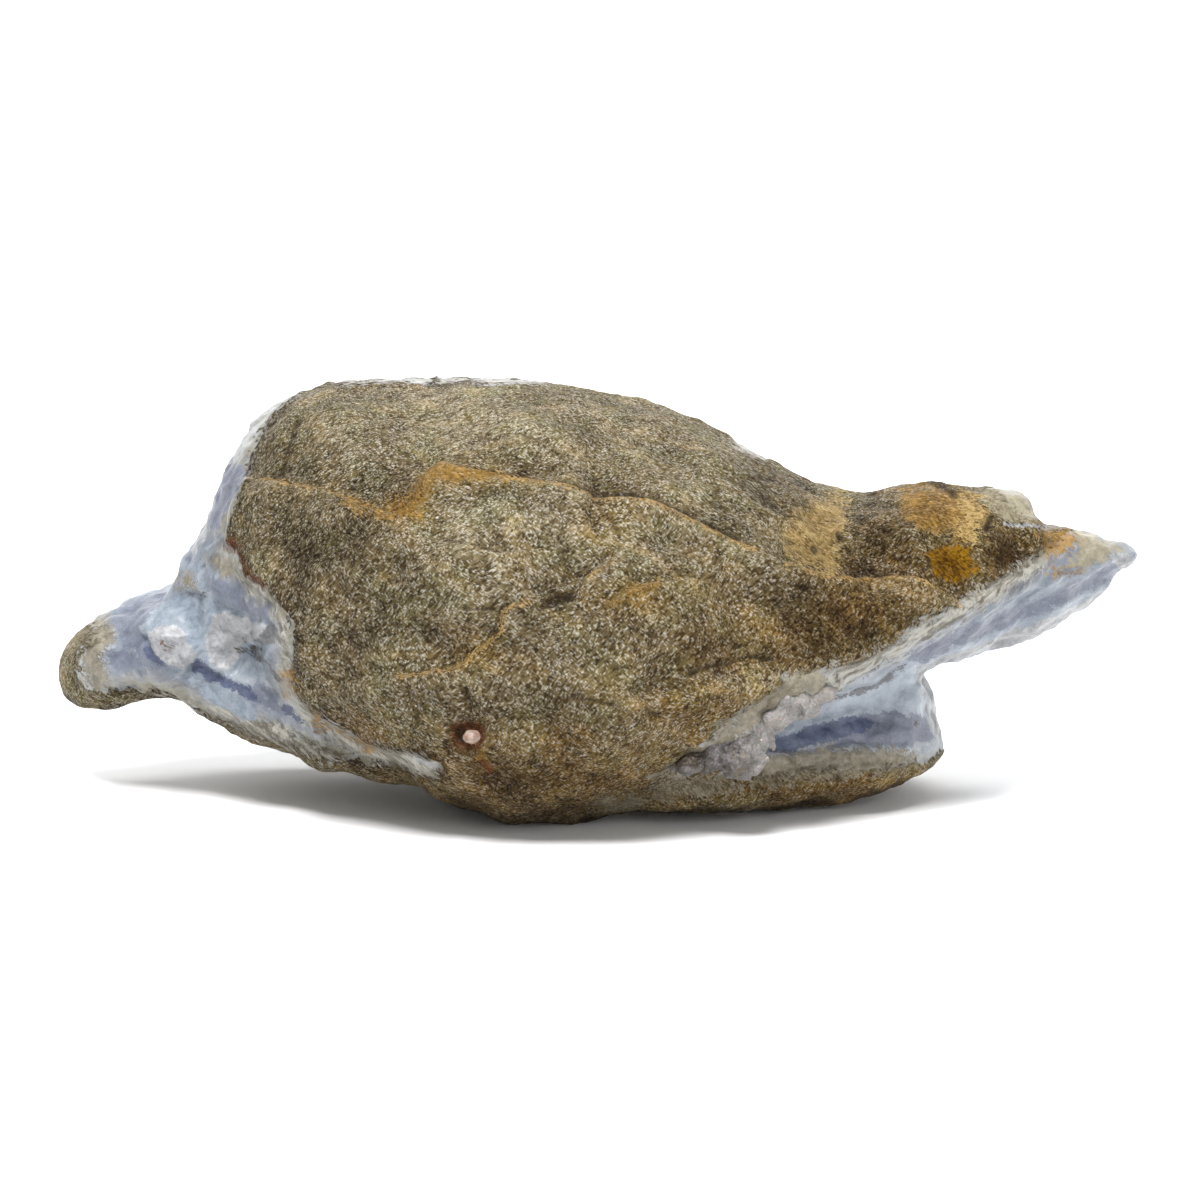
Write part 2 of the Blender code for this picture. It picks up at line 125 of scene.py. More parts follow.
@dataclass(frozen=True)
class Sightline:
    """The line from the eye to the stone, and the front drawing seen along it."""

    aim: tuple[float, float, float] = (0.661, 3.624, 27.6)
    distance: float = 463.0
    elevation: float = 10.0
    lens: float = 100.0
    sensor: float = 36.0
    steps: int = 1200

    def back(self) -> np.ndarray:
        """The unit vector from the aim to the eye."""
        tilt = math.radians(self.elevation)
        return np.array([0.0, -math.cos(tilt), math.sin(tilt)])

    def eye(self) -> np.ndarray:
        """Where the eye is."""
        return np.array(self.aim) + self.distance * self.back()

    def step(self) -> float:
        """The size of one step of the drawing at the aim."""
        return self.distance * self.sensor / self.lens / self.steps

    def drawing(self, places: np.ndarray) -> np.ndarray:
        """Find where places fall on the front drawing.

        Args:
            places: One row of x, y and z for each place.

        Returns:
            One row for each place, in steps across and down the drawing.
        """
        tilt = math.radians(self.elevation)
        offset = places - self.eye()
        depth = offset @ -self.back()
        up = offset @ np.array([0.0, math.sin(tilt), math.cos(tilt)])
        scale = self.distance / depth / self.step()
        middle = self.steps / 2
        return np.column_stack([middle + offset[:, 0] * scale, middle - up * scale])


@dataclass(frozen=True)
class Haze:
    """A soft oval change of the skin on the front drawing, its place and reaches in steps."""

    across: float
    down: float
    reach_across: float
    reach_down: float
    strength: float


@dataclass(frozen=True)
class Crease:
    """A step or groove of the skin along a line of the front drawing.

    A step stands proud below the line and lies back above it, or the other way round where its height is
    below 0. A groove is as deep on both sides. Height is in millimetres, width in steps of the drawing.
    """

    height: float
    width: float
    corners: Corners
    groove: bool = False
    bare: bool = False


LEDGE_A: Corners = (
    (240, 476), (262, 478), (280, 481), (300, 486), (324, 491), (345, 499), (360, 505), (392, 511),
    (410, 500), (427, 477), (434, 466), (477, 471), (508, 478), (546, 482), (573, 488), (592, 496),
    (631, 498), (662, 507), (692, 521), (723, 534), (752, 550), (782, 565), (817, 575), (855, 580),
    (902, 576), (925, 582), (948, 594), (962, 604),
)
LEDGE_B: Corners = (
    (360, 680), (400, 677), (450, 669), (469, 659), (488, 644), (501, 632), (502, 621), (504, 613),
    (515, 605), (535, 598), (554, 588), (581, 582), (600, 569), (608, 563),
)
HOLLOW_BROW: Corners = ((700, 742), (722, 733), (748, 722), (772, 710), (790, 698), (812, 688), (834, 681))
RIND_OUTLINE: Corners = (
    (330, 300), (316, 382), (290, 402), (274, 414), (264, 430), (250, 458), (242, 486), (238, 506),
    (228, 530), (226, 542), (236, 554), (242, 570), (262, 588), (274, 602), (290, 620), (296, 642),
    (290, 666), (290, 682), (310, 710), (338, 726), (366, 744), (390, 752), (422, 754), (450, 786),
    (440, 900), (560, 900), (560, 824), (584, 812), (612, 792), (652, 780), (680, 764), (696, 744),
    (720, 720), (736, 712), (760, 700), (776, 692), (784, 676), (800, 674), (840, 666), (864, 660),
    (892, 646), (912, 626), (936, 616), (960, 600), (984, 588), (1012, 576), (1028, 560), (1050, 545),
    (1075, 530), (1040, 520), (1020, 515), (1000, 495), (985, 482), (960, 440), (720, 300),
)
RIND_STRIPS: tuple[Line, ...] = (
    (26, ((80, 630), (66, 656), (66, 688), (92, 706))),
    (20, ((92, 702), (150, 700), (210, 724), (300, 756), (370, 776), (430, 794))),
    (30, ((636, 806), (720, 792), (800, 786), (870, 786), (914, 778))),
)
BARE_STRIPS: tuple[Line, ...] = (
    (9, ((338, 380), (428, 377))),
    (7, ((443, 379), (560, 380))),
    (8, ((735, 444), (765, 456))),
    (9, ((376, 757), (400, 763), (434, 766))),
)
CREASES: tuple[Crease, ...] = (
    # Ledges and folds of the rind.
    Crease(0.75, 16, LEDGE_A[:8]),
    Crease(1.15, 15, LEDGE_A[8:]),
    Crease(0.85, 13, LEDGE_B),
    Crease(0.9, 13, ((446, 542), (469, 546), (488, 550), (500, 555), (530, 552))),
    Crease(0.9, 13, ((590, 496), (585, 513), (592, 532), (600, 563))),
    Crease(1.0, 14, ((600, 610), (608, 603), (631, 589), (654, 582), (690, 580))),
    Crease(0.4, 12, ((640, 540), (690, 560), (740, 580), (790, 600))),
    Crease(0.4, 12, ((300, 560), (340, 566), (380, 576), (430, 602), (461, 606), (496, 610))),
    Crease(0.4, 12, ((330, 430), (400, 420), (470, 432), (540, 424), (610, 436))),
    Crease(0.35, 10, ((640, 450), (700, 470), (750, 500), (790, 520))),
    Crease(0.8, 14, ((500, 700), (560, 690), (620, 700), (690, 690), (740, 676))),
    # Cracks and pits of the rind.
    Crease(0.45, 3.5, ((688, 675), (712, 666), (740, 657), (772, 660)), groove=True),
    Crease(0.35, 4, ((298, 423), (290, 442), (280, 473)), groove=True),
    Crease(0.5, 4, ((465, 690), (468, 700), (469, 709)), groove=True),
    Crease(0.5, 6, ((538, 604), (554, 596), (576, 595)), groove=True),
    Crease(0.5, 6, ((570, 695), (596, 700), (620, 705)), groove=True),
    Crease(0.4, 5, ((643, 711), (658, 714)), groove=True),
    Crease(0.5, 4, ((991, 516), (987, 529)), groove=True),
    Crease(0.35, 4, ((838, 536), (840, 541)), groove=True),
    Crease(0.6, 5, ((454, 735), (462, 738)), groove=True),
    # The raised brow over the hollow, and the ring of the bead's pit.
    Crease(-1.5, 7, HOLLOW_BROW, groove=True),
    Crease(-1.5, 7, HOLLOW_BROW, groove=True, bare=True),
    Crease(0.7, 9, ((470, 728), (452, 730), (450, 745), (464, 750)), groove=True),
    # Broken steps of the agate at the left.
    Crease(-1.0, 7, ((143, 634), (160, 607), (182, 588), (200, 592)), bare=True),
    Crease(-0.9, 7, ((145, 635), (158, 654), (170, 667), (182, 672), (193, 664), (199, 654)), bare=True),
    Crease(0.8, 7, ((209, 614), (227, 609), (243, 618), (266, 627)), bare=True),
    Crease(-0.8, 7, ((219, 671), (230, 674), (240, 658), (252, 645), (262, 637)), bare=True),
    Crease(-1.0, 7, ((189, 661), (207, 666), (227, 679), (252, 689), (262, 702)), bare=True),
    Crease(0.4, 8, ((203, 571), (235, 589), (266, 608)), bare=True),
    Crease(0.6, 8, ((200, 690), (250, 715), (300, 742), (360, 760)), bare=True),
    # Broken steps of the agate in the hollow and under the pointed end.
    Crease(0.5, 7, ((825, 688), (830, 699), (852, 695), (884, 683), (908, 668)), bare=True),
    Crease(-0.6, 9, ((764, 738), (814, 725), (870, 715), (905, 722)), bare=True),
    Crease(0.6, 8, ((764, 753), (800, 754), (850, 744), (900, 746)), bare=True),
    Crease(0.5, 8, ((925, 660), (975, 637), (1040, 612), (1100, 584)), bare=True),
)
STROKES: dict[Tint, tuple[Line, ...]] = {
    Tint.LAVENDER: (
        (15, ((916, 656), (960, 636), (1010, 618), (1060, 598), (1108, 574))),
    ),
    # Painted shadow in a slot under a broken step of the agate.
    Tint.PAINTED_SLOT_SHADOW: (
        (8, ((196, 665), (214, 677), (236, 688), (254, 698))),
    ),
    Tint.GREY: (
        (3, ((825, 686), (829, 698), (852, 694), (883, 682), (906, 667))),
    ),
    Tint.FIBRE: (
        (9, ((238, 572), (262, 596), (279, 622), (285, 650), (284, 674))),
    ),
    Tint.WHITE: (
        (7, ((270, 404), (252, 427), (236, 450), (228, 462))),
        (5, ((221, 473), (213, 504), (204, 530), (196, 552))),
        (5, ((414, 758), (434, 766))),
        (2, ((764, 753), (798, 755))),
        (3, ((1005, 524), (1040, 529), (1071, 530))),
        (14, ((926, 670), (990, 647), (1040, 629), (1090, 606), (1134, 578))),
    ),
    Tint.OCHRE: (
        (7, ((352, 503), (372, 509), (392, 513), (410, 505))),
        (4, ((608, 606), (631, 592), (654, 584))),
        (5, ((314, 718), (338, 734), (368, 750))),
        (5, ((1055, 573), (1078, 573))),
        (8, ((286, 676), (294, 690))),
        (8, ((476, 750), (484, 756))),
    ),
    # Ochre lines along the ledges, partly real ochre and partly a painted highlight on their lit top
    # edges.
    Tint.SEAM: (
        (3, LEDGE_A[1:8]),
        (3, ((422, 484), (430, 470), (436, 466), (477, 470), (508, 476), (530, 479))),
        (3.5, (
            (505, 480), (546, 484), (573, 490), (592, 498), (631, 500), (662, 509), (692, 523),
            (723, 536), (752, 552),
        )),
        (3, ((782, 567), (817, 577), (855, 582), (902, 578), (925, 584), (948, 596), (960, 605))),
        (3, LEDGE_B[1:5]),
        (5, LEDGE_B[3:8]),
        (2, ((504, 613), (512, 606), (530, 600))),
        (2, ((590, 578), (604, 570), (612, 562))),
    ),
    Tint.RUST: (
        (4, ((163, 642), (168, 649), (172, 645))),
        (4, ((232, 548), (242, 560), (262, 588))),
        (4, ((484, 764), (490, 770))),
    ),
    # Painted shade: dark lines in cracks and pits and under the ledges, and a painted contact shadow along
    # the foot.
    Tint.DARK: (
        (6, ((868, 497), (886, 488), (913, 484), (940, 487), (955, 494))),
        (3.5, ((560, 480), (592, 490), (631, 493), (662, 501), (692, 515), (723, 529), (740, 538))),
        (3, ((446, 541), (469, 545), (488, 549), (500, 554))),
        (3, ((461, 605), (480, 607), (496, 609))),
        (4, ((574, 695), (596, 700), (618, 705))),
        (4, ((646, 712), (656, 714))),
        (2.5, ((688, 675), (712, 666), (740, 657), (772, 660))),
        (2.5, ((298, 423), (290, 442), (280, 473))),
        (2.5, ((465, 690), (468, 700), (469, 709))),
        (6, ((838, 536), (839, 540))),
        (5, ((811, 551), (813, 553))),
        (6, ((992, 516), (990, 521), (986, 529))),
        (5, ((836, 779), (838, 781))),
        (3.5, ((243, 641), (244, 642))),
        (3, ((196, 592), (201, 593), (206, 594))),
        (3, ((236, 648), (250, 654), (263, 660), (273, 672), (279, 681))),
        (3, ((240, 649), (258, 651))),
        (3, ((1126, 566), (1128, 565))),
        (2.5, ((1131, 576), (1132, 575))),
        (2.5, ((990, 642), (995, 641))),
        (2.5, ((1033, 634), (1036, 633))),
        (3, ((915, 722), (916, 724))),
        (7, (
            (583, 819), (637, 812), (687, 811), (745, 810), (791, 806), (845, 803), (891, 786),
            (933, 775),
        )),
    ),
}
AREAS: dict[Tint, tuple[Corners, ...]] = {
    Tint.CREAM: (
        (
            (971, 488), (986, 486), (1009, 492), (1030, 496), (1036, 513), (1031, 526), (1009, 523),
            (994, 509), (978, 498),
        ),
        ((1071, 526), (1109, 536), (1128, 552), (1109, 559), (1086, 571), (1063, 567), (1078, 552)),
        ((772, 694), (784, 678), (800, 671), (822, 670), (826, 684), (800, 696), (780, 704)),
    ),
    Tint.LAVENDER: (
        ((223, 465), (242, 462), (245, 477), (232, 500), (217, 527), (205, 535), (219, 496)),
        ((850, 716), (880, 711), (929, 717), (937, 740), (906, 746), (860, 744), (800, 754), (840, 738)),
        ((1094, 576), (1112, 560), (1130, 556), (1134, 566), (1112, 580)),
        (
            (203, 572), (218, 579), (235, 590), (252, 600), (266, 609), (262, 619), (247, 614),
            (227, 601), (209, 589),
        ),
        ((115, 618), (130, 616), (143, 634), (150, 648), (168, 668), (158, 670), (140, 655), (118, 640)),
        ((176, 570), (184, 571), (181, 585), (172, 592)),
        ((243, 690), (268, 686), (279, 700), (290, 716), (270, 711), (254, 705)),
        ((102, 648), (128, 648), (150, 664), (132, 668), (108, 664)),
        ((120, 604), (150, 594), (177, 587), (162, 604), (146, 628), (124, 636), (112, 622)),
    ),
    # Painted shadow in the slots under the agate's broken steps.
    Tint.PAINTED_SLOT_SHADOW: (
        ((143, 646), (153, 646), (168, 665), (161, 667), (148, 656)),
        (
            (189, 663), (197, 657), (207, 667), (217, 673), (227, 680), (237, 683), (252, 690),
            (258, 701), (248, 701), (240, 694), (228, 689), (217, 683), (210, 684), (200, 678),
            (192, 672),
        ),
        ((278, 696), (293, 706), (304, 722), (293, 718), (282, 708)),
        (
            (760, 742), (780, 736), (800, 730), (820, 723), (850, 717), (874, 719), (866, 730),
            (838, 739), (812, 746), (790, 753), (772, 755),
        ),
    ),
    Tint.ICE: (
        (
            (143, 633), (160, 607), (180, 590), (207, 598), (215, 610), (212, 622), (204, 640),
            (197, 652), (186, 637), (181, 626), (166, 626),
        ),
        (
            (180, 671), (200, 683), (216, 684), (230, 692), (240, 698), (254, 708), (260, 720),
            (240, 720), (222, 706), (205, 696), (190, 682),
        ),
    ),
    Tint.GREY: (
        ((267, 622), (278, 628), (273, 644), (257, 646), (249, 642), (259, 634)),
    ),
    Tint.MURK: (
        ((80, 640), (88, 624), (104, 614), (116, 634), (104, 656), (108, 684), (90, 696), (80, 672)),
        ((650, 796), (664, 780), (700, 776), (752, 786), (720, 793), (670, 800)),
        ((694, 748), (722, 720), (760, 700), (784, 676), (796, 690), (770, 714), (740, 727), (706, 750)),
        (
            (760, 756), (829, 748), (887, 746), (914, 752), (916, 766), (868, 774), (829, 782),
            (775, 786), (740, 790),
        ),
        ((591, 806), (602, 796), (633, 793), (650, 796), (640, 804), (610, 809)),
        ((180, 573), (188, 573), (199, 588), (183, 588)),
        ((206, 556), (224, 553), (238, 572), (226, 576), (210, 568)),
    ),
    Tint.FIBRE: (
        (
            (820, 672), (860, 660), (905, 638), (950, 610), (1000, 578), (1026, 560), (1040, 570),
            (1004, 596), (956, 628), (912, 650), (862, 676), (828, 690),
        ),
        ((300, 700), (330, 726), (372, 748), (420, 756), (440, 776), (380, 762), (330, 744), (298, 718)),
        ((218, 700), (262, 717), (310, 739), (345, 753), (330, 764), (290, 752), (246, 732), (212, 712)),
        ((652, 786), (683, 767), (706, 752), (722, 755), (718, 767), (687, 782), (660, 792)),
    ),
    Tint.WHITE: (
        (
            (145, 633), (167, 625), (180, 625), (187, 638), (199, 653), (193, 663), (182, 670),
            (169, 664), (158, 652),
        ),
        (
            (213, 615), (227, 610), (243, 619), (265, 627), (260, 637), (252, 643), (238, 647),
            (240, 656), (229, 673), (219, 670), (209, 656), (207, 636),
        ),
        ((1108, 548), (1130, 556), (1139, 566), (1130, 578), (1116, 568)),
        ((918, 664), (936, 680), (946, 710), (942, 740), (930, 730), (926, 700), (912, 680)),
    ),
    Tint.OCHRE: (
        (
            (386, 506), (409, 494), (427, 474), (434, 466), (480, 470), (508, 477), (504, 483),
            (469, 482), (440, 483), (425, 497), (417, 516), (402, 516),
        ),
        ((902, 490), (940, 488), (978, 494), (986, 517), (971, 544), (955, 532), (925, 532), (905, 517)),
        ((1036, 536), (1071, 530), (1078, 540), (1067, 552), (1044, 554)),
    ),
    Tint.GOLD: (
        (
            (798, 513), (813, 502), (844, 500), (846, 521), (836, 540), (840, 567), (836, 578),
            (813, 567), (786, 552), (782, 532),
        ),
        ((959, 496), (978, 496), (986, 517), (975, 546), (963, 530)),
    ),
    Tint.AMBER: (
        ((928, 552), (948, 544), (971, 548), (975, 571), (959, 586), (940, 578)),
    ),
    Tint.RUST: (
        ((222, 538), (233, 536), (240, 546), (234, 553), (226, 550)),
        ((448, 728), (464, 722), (480, 724), (486, 738), (480, 750), (464, 756), (450, 748)),
    ),
    # Painted shade in a hollow of the rind and in the bead's pit.
    Tint.DARK: (
        ((536, 607), (548, 598), (574, 591), (578, 599), (556, 606)),
        ((453, 730), (462, 728), (465, 738), (462, 749), (455, 745)),
    ),
}
HAZES: dict[Cast, tuple[Haze, ...]] = {
    Cast.WARM: (
        Haze(400, 508, 26, 16, 0.9), Haze(300, 490, 60, 10, 0.2), Haze(470, 476, 60, 14, 0.7),
        Haze(610, 520, 34, 30, 0.6), Haze(480, 655, 40, 16, 0.8), Haze(640, 600, 50, 24, 0.7),
        Haze(690, 585, 70, 20, 0.4), Haze(563, 737, 34, 16, 0.9), Haze(560, 780, 220, 50, 0.8),
        Haze(800, 640, 130, 46, 0.7), Haze(860, 612, 70, 40, 0.9), Haze(700, 710, 80, 40, 0.7),
        Haze(340, 735, 50, 20, 0.7), Haze(900, 560, 80, 40, 0.7), Haze(484, 768, 20, 16, 1.0),
        Haze(820, 784, 120, 24, 1.0), Haze(1000, 556, 40, 36, 0.8),
    ),
    # Painted shade over the low parts, under the ledge and on the dome's lower right.
    Cast.PAINTED_SOFT_SHADE: (
        Haze(820, 790, 130, 12, 0.3), Haze(325, 555, 90, 62, 0.5), Haze(480, 635, 44, 34, 0.4),
        Haze(360, 640, 60, 40, 0.3), Haze(770, 490, 60, 40, 0.4), Haze(700, 540, 60, 14, 0.3),
        Haze(840, 620, 110, 54, 0.9), Haze(876, 530, 34, 40, 0.8), Haze(1000, 556, 36, 34, 0.9),
        Haze(560, 700, 90, 18, 0.6), Haze(520, 790, 180, 50, 0.6), Haze(740, 650, 90, 30, 0.7),
        Haze(380, 700, 60, 30, 0.3), Haze(130, 715, 70, 20, 0.2),
    ),
    # Paler patches: the wide one over the dome's top is painted light, the rest paler stone.
    Cast.PALE_AND_TOP_LIGHT: (
        Haze(420, 420, 170, 44, 0.36), Haze(670, 600, 60, 36, 0.3), Haze(520, 520, 90, 36, 0.45),
        Haze(650, 545, 60, 40, 0.5), Haze(560, 640, 50, 26, 0.3), Haze(300, 720, 50, 30, 0.35),
        Haze(930, 700, 60, 70, 1.0), Haze(84, 664, 28, 40, 0.7), Haze(860, 690, 80, 26, 0.8),
    ),
    Cast.ROUGH: (
        Haze(1000, 555, 46, 40, 1.0), Haze(880, 545, 60, 40, 0.6), Haze(940, 500, 60, 20, 0.5),
        Haze(600, 590, 70, 40, 0.5), Haze(460, 740, 24, 18, 0.8), Haze(760, 660, 70, 24, 0.5),
        Haze(240, 635, 40, 26, 0.8),
    ),
}


def off_line(spots: np.ndarray, corners: Corners) -> tuple[np.ndarray, np.ndarray]:
    """Measure how far spots of the drawing are from a line.

    Args:
        spots: One row of steps across and down for each spot.
        corners: The corners of the line.

    Returns:
        Each spot's distance to the line, and that distance signed, positive on the upper side of a line
        that runs to the right.
    """
    nearest = np.full(len(spots), np.inf)
    above = np.zeros(len(spots))
    points = np.array(corners, float)
    for start, end in zip(points, points[1:]):
        run = end - start
        along = np.clip((spots - start) @ run / (run @ run), 0.0, 1.0)
        offset = spots - start - along[:, None] * run
        distance = np.hypot(offset[:, 0], offset[:, 1])
        side = np.where(run[0] * offset[:, 1] - run[1] * offset[:, 0] < 0.0, 1.0, -1.0)
        closer = distance < nearest
        nearest = np.where(closer, distance, nearest)
        above = np.where(closer, side * distance, above)
    return nearest, above


def within(spots: np.ndarray, outline: Corners) -> np.ndarray:
    """Tell which spots of the drawing lie inside a closed outline.

    Args:
        spots: One row of steps across and down for each spot.
        outline: The corners of the outline, in order.

    Returns:
        True for each spot inside.
    """
    inside = np.zeros(len(spots), bool)
    points = np.array(outline, float)
    for (x1, y1), (x2, y2) in zip(points, np.roll(points, -1, axis=0)):
        crosses = (spots[:, 1] < y1) != (spots[:, 1] < y2)
        with np.errstate(divide="ignore", invalid="ignore"):
            at = x1 + (spots[:, 1] - y1) * (x2 - x1) / (y2 - y1)
        inside ^= crosses & (spots[:, 0] < at)
    return inside


def depth_in(spots: np.ndarray, outline: Corners) -> np.ndarray:
    """Measure how deep spots of the drawing lie inside a closed outline.

    Args:
        spots: One row of steps across and down for each spot.
        outline: The corners of the outline, in order.

    Returns:
        Each spot's distance to the outline, above 0 inside and below 0 outside.
    """
    distance, _ = off_line(spots, outline + outline[:1])
    return np.where(within(spots, outline), distance, -distance)


def cast_over(spots: np.ndarray, cast: Cast) -> np.ndarray:
    """Work out how strong one cast is.

    Args:
        spots: One row of steps across and down for each spot.
        cast: The cast.

    Returns:
        Its strength at each spot, 0 to 1.
    """
    strength = np.zeros(len(spots))
    for haze in HAZES[cast]:
        off = (spots - (haze.across, haze.down)) / (haze.reach_across, haze.reach_down)
        strength = np.maximum(strength, haze.strength * np.exp(-(off**2).sum(axis=1)))
    return strength


def rise(depth: np.ndarray, width: float) -> np.ndarray:
    """Rise from 0 to 1 over a width across an edge, from the depths inside it."""
    return np.clip(0.5 + depth / width, 0.0, 1.0)


def lumps(places: np.ndarray, size: float, pattern: Pattern = Pattern.PLAIN) -> np.ndarray:
    """Smooth lumps, from about -1 to 1.

    Args:
        places: One row of x, y and z for each place.
        size: How far apart the lumps are.
        pattern: Which pattern they follow.

    Returns:
        The height at each place.
    """
    shift = Vector((1.0, 2.0, 3.0)) * pattern
    return np.array([noise.noise(Vector(place) / size + shift) for place in places])


def cells(places: np.ndarray, size: float, pattern: Pattern = Pattern.PLAIN) -> np.ndarray:
    """Rounded pits with sharp ridges between them: the distance to the nearest pit's middle.

    Args:
        places: One row of x, y and z for each place.
        size: How far apart the pits are.
        pattern: Which pattern they follow.

    Returns:
        The height at each place, from 0 in a pit's middle to about 1.
    """
    shift = Vector((1.0, 2.0, 3.0)) * pattern
    return np.array([noise.voronoi(Vector(place) / size + shift)[0][0] for place in places])


def outward(places: np.ndarray, quads: np.ndarray) -> np.ndarray:
    """Find each point's normal from the four-sided faces around it.

    Args:
        places: One row of x, y and z for each point.
        quads: One row of four point numbers for each face.

    Returns:
        One unit vector for each point.
    """
    facing = np.cross(places[quads[:, 2]] - places[quads[:, 0]], places[quads[:, 3]] - places[quads[:, 1]])
    normals = np.zeros_like(places)
    for corner in range(4):
        np.add.at(normals, quads[:, corner], facing)
    return normals / np.linalg.norm(normals, axis=1)[:, None]


def only(thing: bpy.types.Object) -> None:
    """Select one object alone and make it active."""
    bpy.ops.object.select_all(action="DESELECT")
    thing.select_set(True)
    bpy.context.view_layer.objects.active = thing


def merged_copy(node: bpy.types.Object, name: str) -> bpy.types.Object:
    """Copy a CAD node as a new piece, with its loose triangles merged.

    Args:
        node: The CAD node to copy.
        name: The new piece's name.

    Returns:
        The new piece, alone selected and active.
    """
    mesh = node.data.copy()
    mesh.name = name
    mesh.materials.clear()
    piece = bpy.data.objects.new(name, mesh)
    bpy.context.scene.collection.objects.link(piece)
    only(piece)
    bpy.ops.object.mode_set(mode="EDIT")
    bpy.ops.mesh.select_all(action="SELECT")
    bpy.ops.mesh.remove_doubles(threshold=1e-6)
    bpy.ops.object.mode_set(mode="OBJECT")
    return piece


def remesh(piece: bpy.types.Object, voxel: float, passes: int) -> None:
    """Give a piece an even, fine and smooth skin.

    Args:
        piece: The piece, alone selected and active.
        voxel: The size of the new faces.
        passes: How many times the skin is smoothed.
    """
    fine = piece.modifiers.new("fine", "REMESH")
    fine.mode = "VOXEL"
    fine.voxel_size = voxel * METRES
    bpy.ops.object.modifier_apply(modifier=fine.name)
    ease = piece.modifiers.new("ease", "SMOOTH")
    ease.factor = 0.5
    ease.iterations = passes
    bpy.ops.object.modifier_apply(modifier=ease.name)


def read_skin(piece: bpy.types.Object) -> tuple[np.ndarray, np.ndarray]:
    """Read a remeshed piece's points and their normals.

    Args:
        piece: A piece made of four-sided faces only.

    Returns:
        The points' places in millimetres, and their normals.
    """
    mesh = piece.data
    flat = np.empty(3 * len(mesh.vertices))
    mesh.vertices.foreach_get("co", flat)
    quads = np.empty(4 * len(mesh.polygons), dtype=np.int32)
    mesh.polygons.foreach_get("vertices", quads)
    places = flat.reshape(-1, 3) / METRES
    return places, outward(places, quads.reshape(-1, 4))


def write_skin(piece: bpy.types.Object, places: np.ndarray, node: str) -> None:
    """Move a piece's points, and keep them inside the box of the CAD node it stands for.

    Args:
        piece: The piece to change.
        places: The points' new places in millimetres.
        node: The CAD node's name.
    """
    low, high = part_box(node)
    kept = np.clip(places * METRES, np.array(low), np.array(high))
    piece.data.vertices.foreach_set("co", kept.ravel())
    piece.data.update()
    piece.data.shade_smooth()


def name_field(piece: bpy.types.Object, name: str, values: np.ndarray) -> None:
    """Store one number for each point of a piece, for its finish to read."""
    field = piece.data.attributes.new(name, "FLOAT", "POINT")
    field.data.foreach_set("value", values.astype(np.float32))


@dataclass(frozen=True)
class Run:
    """How grains run over the front.

    Bends says how large the bends of their run are, and reach how far a bend carries them. Turn is their
    slant from upright in degrees, and stretch says how much longer than wide they are.
    """

    bends: float
    reach: float
    turn: float
    stretch: float


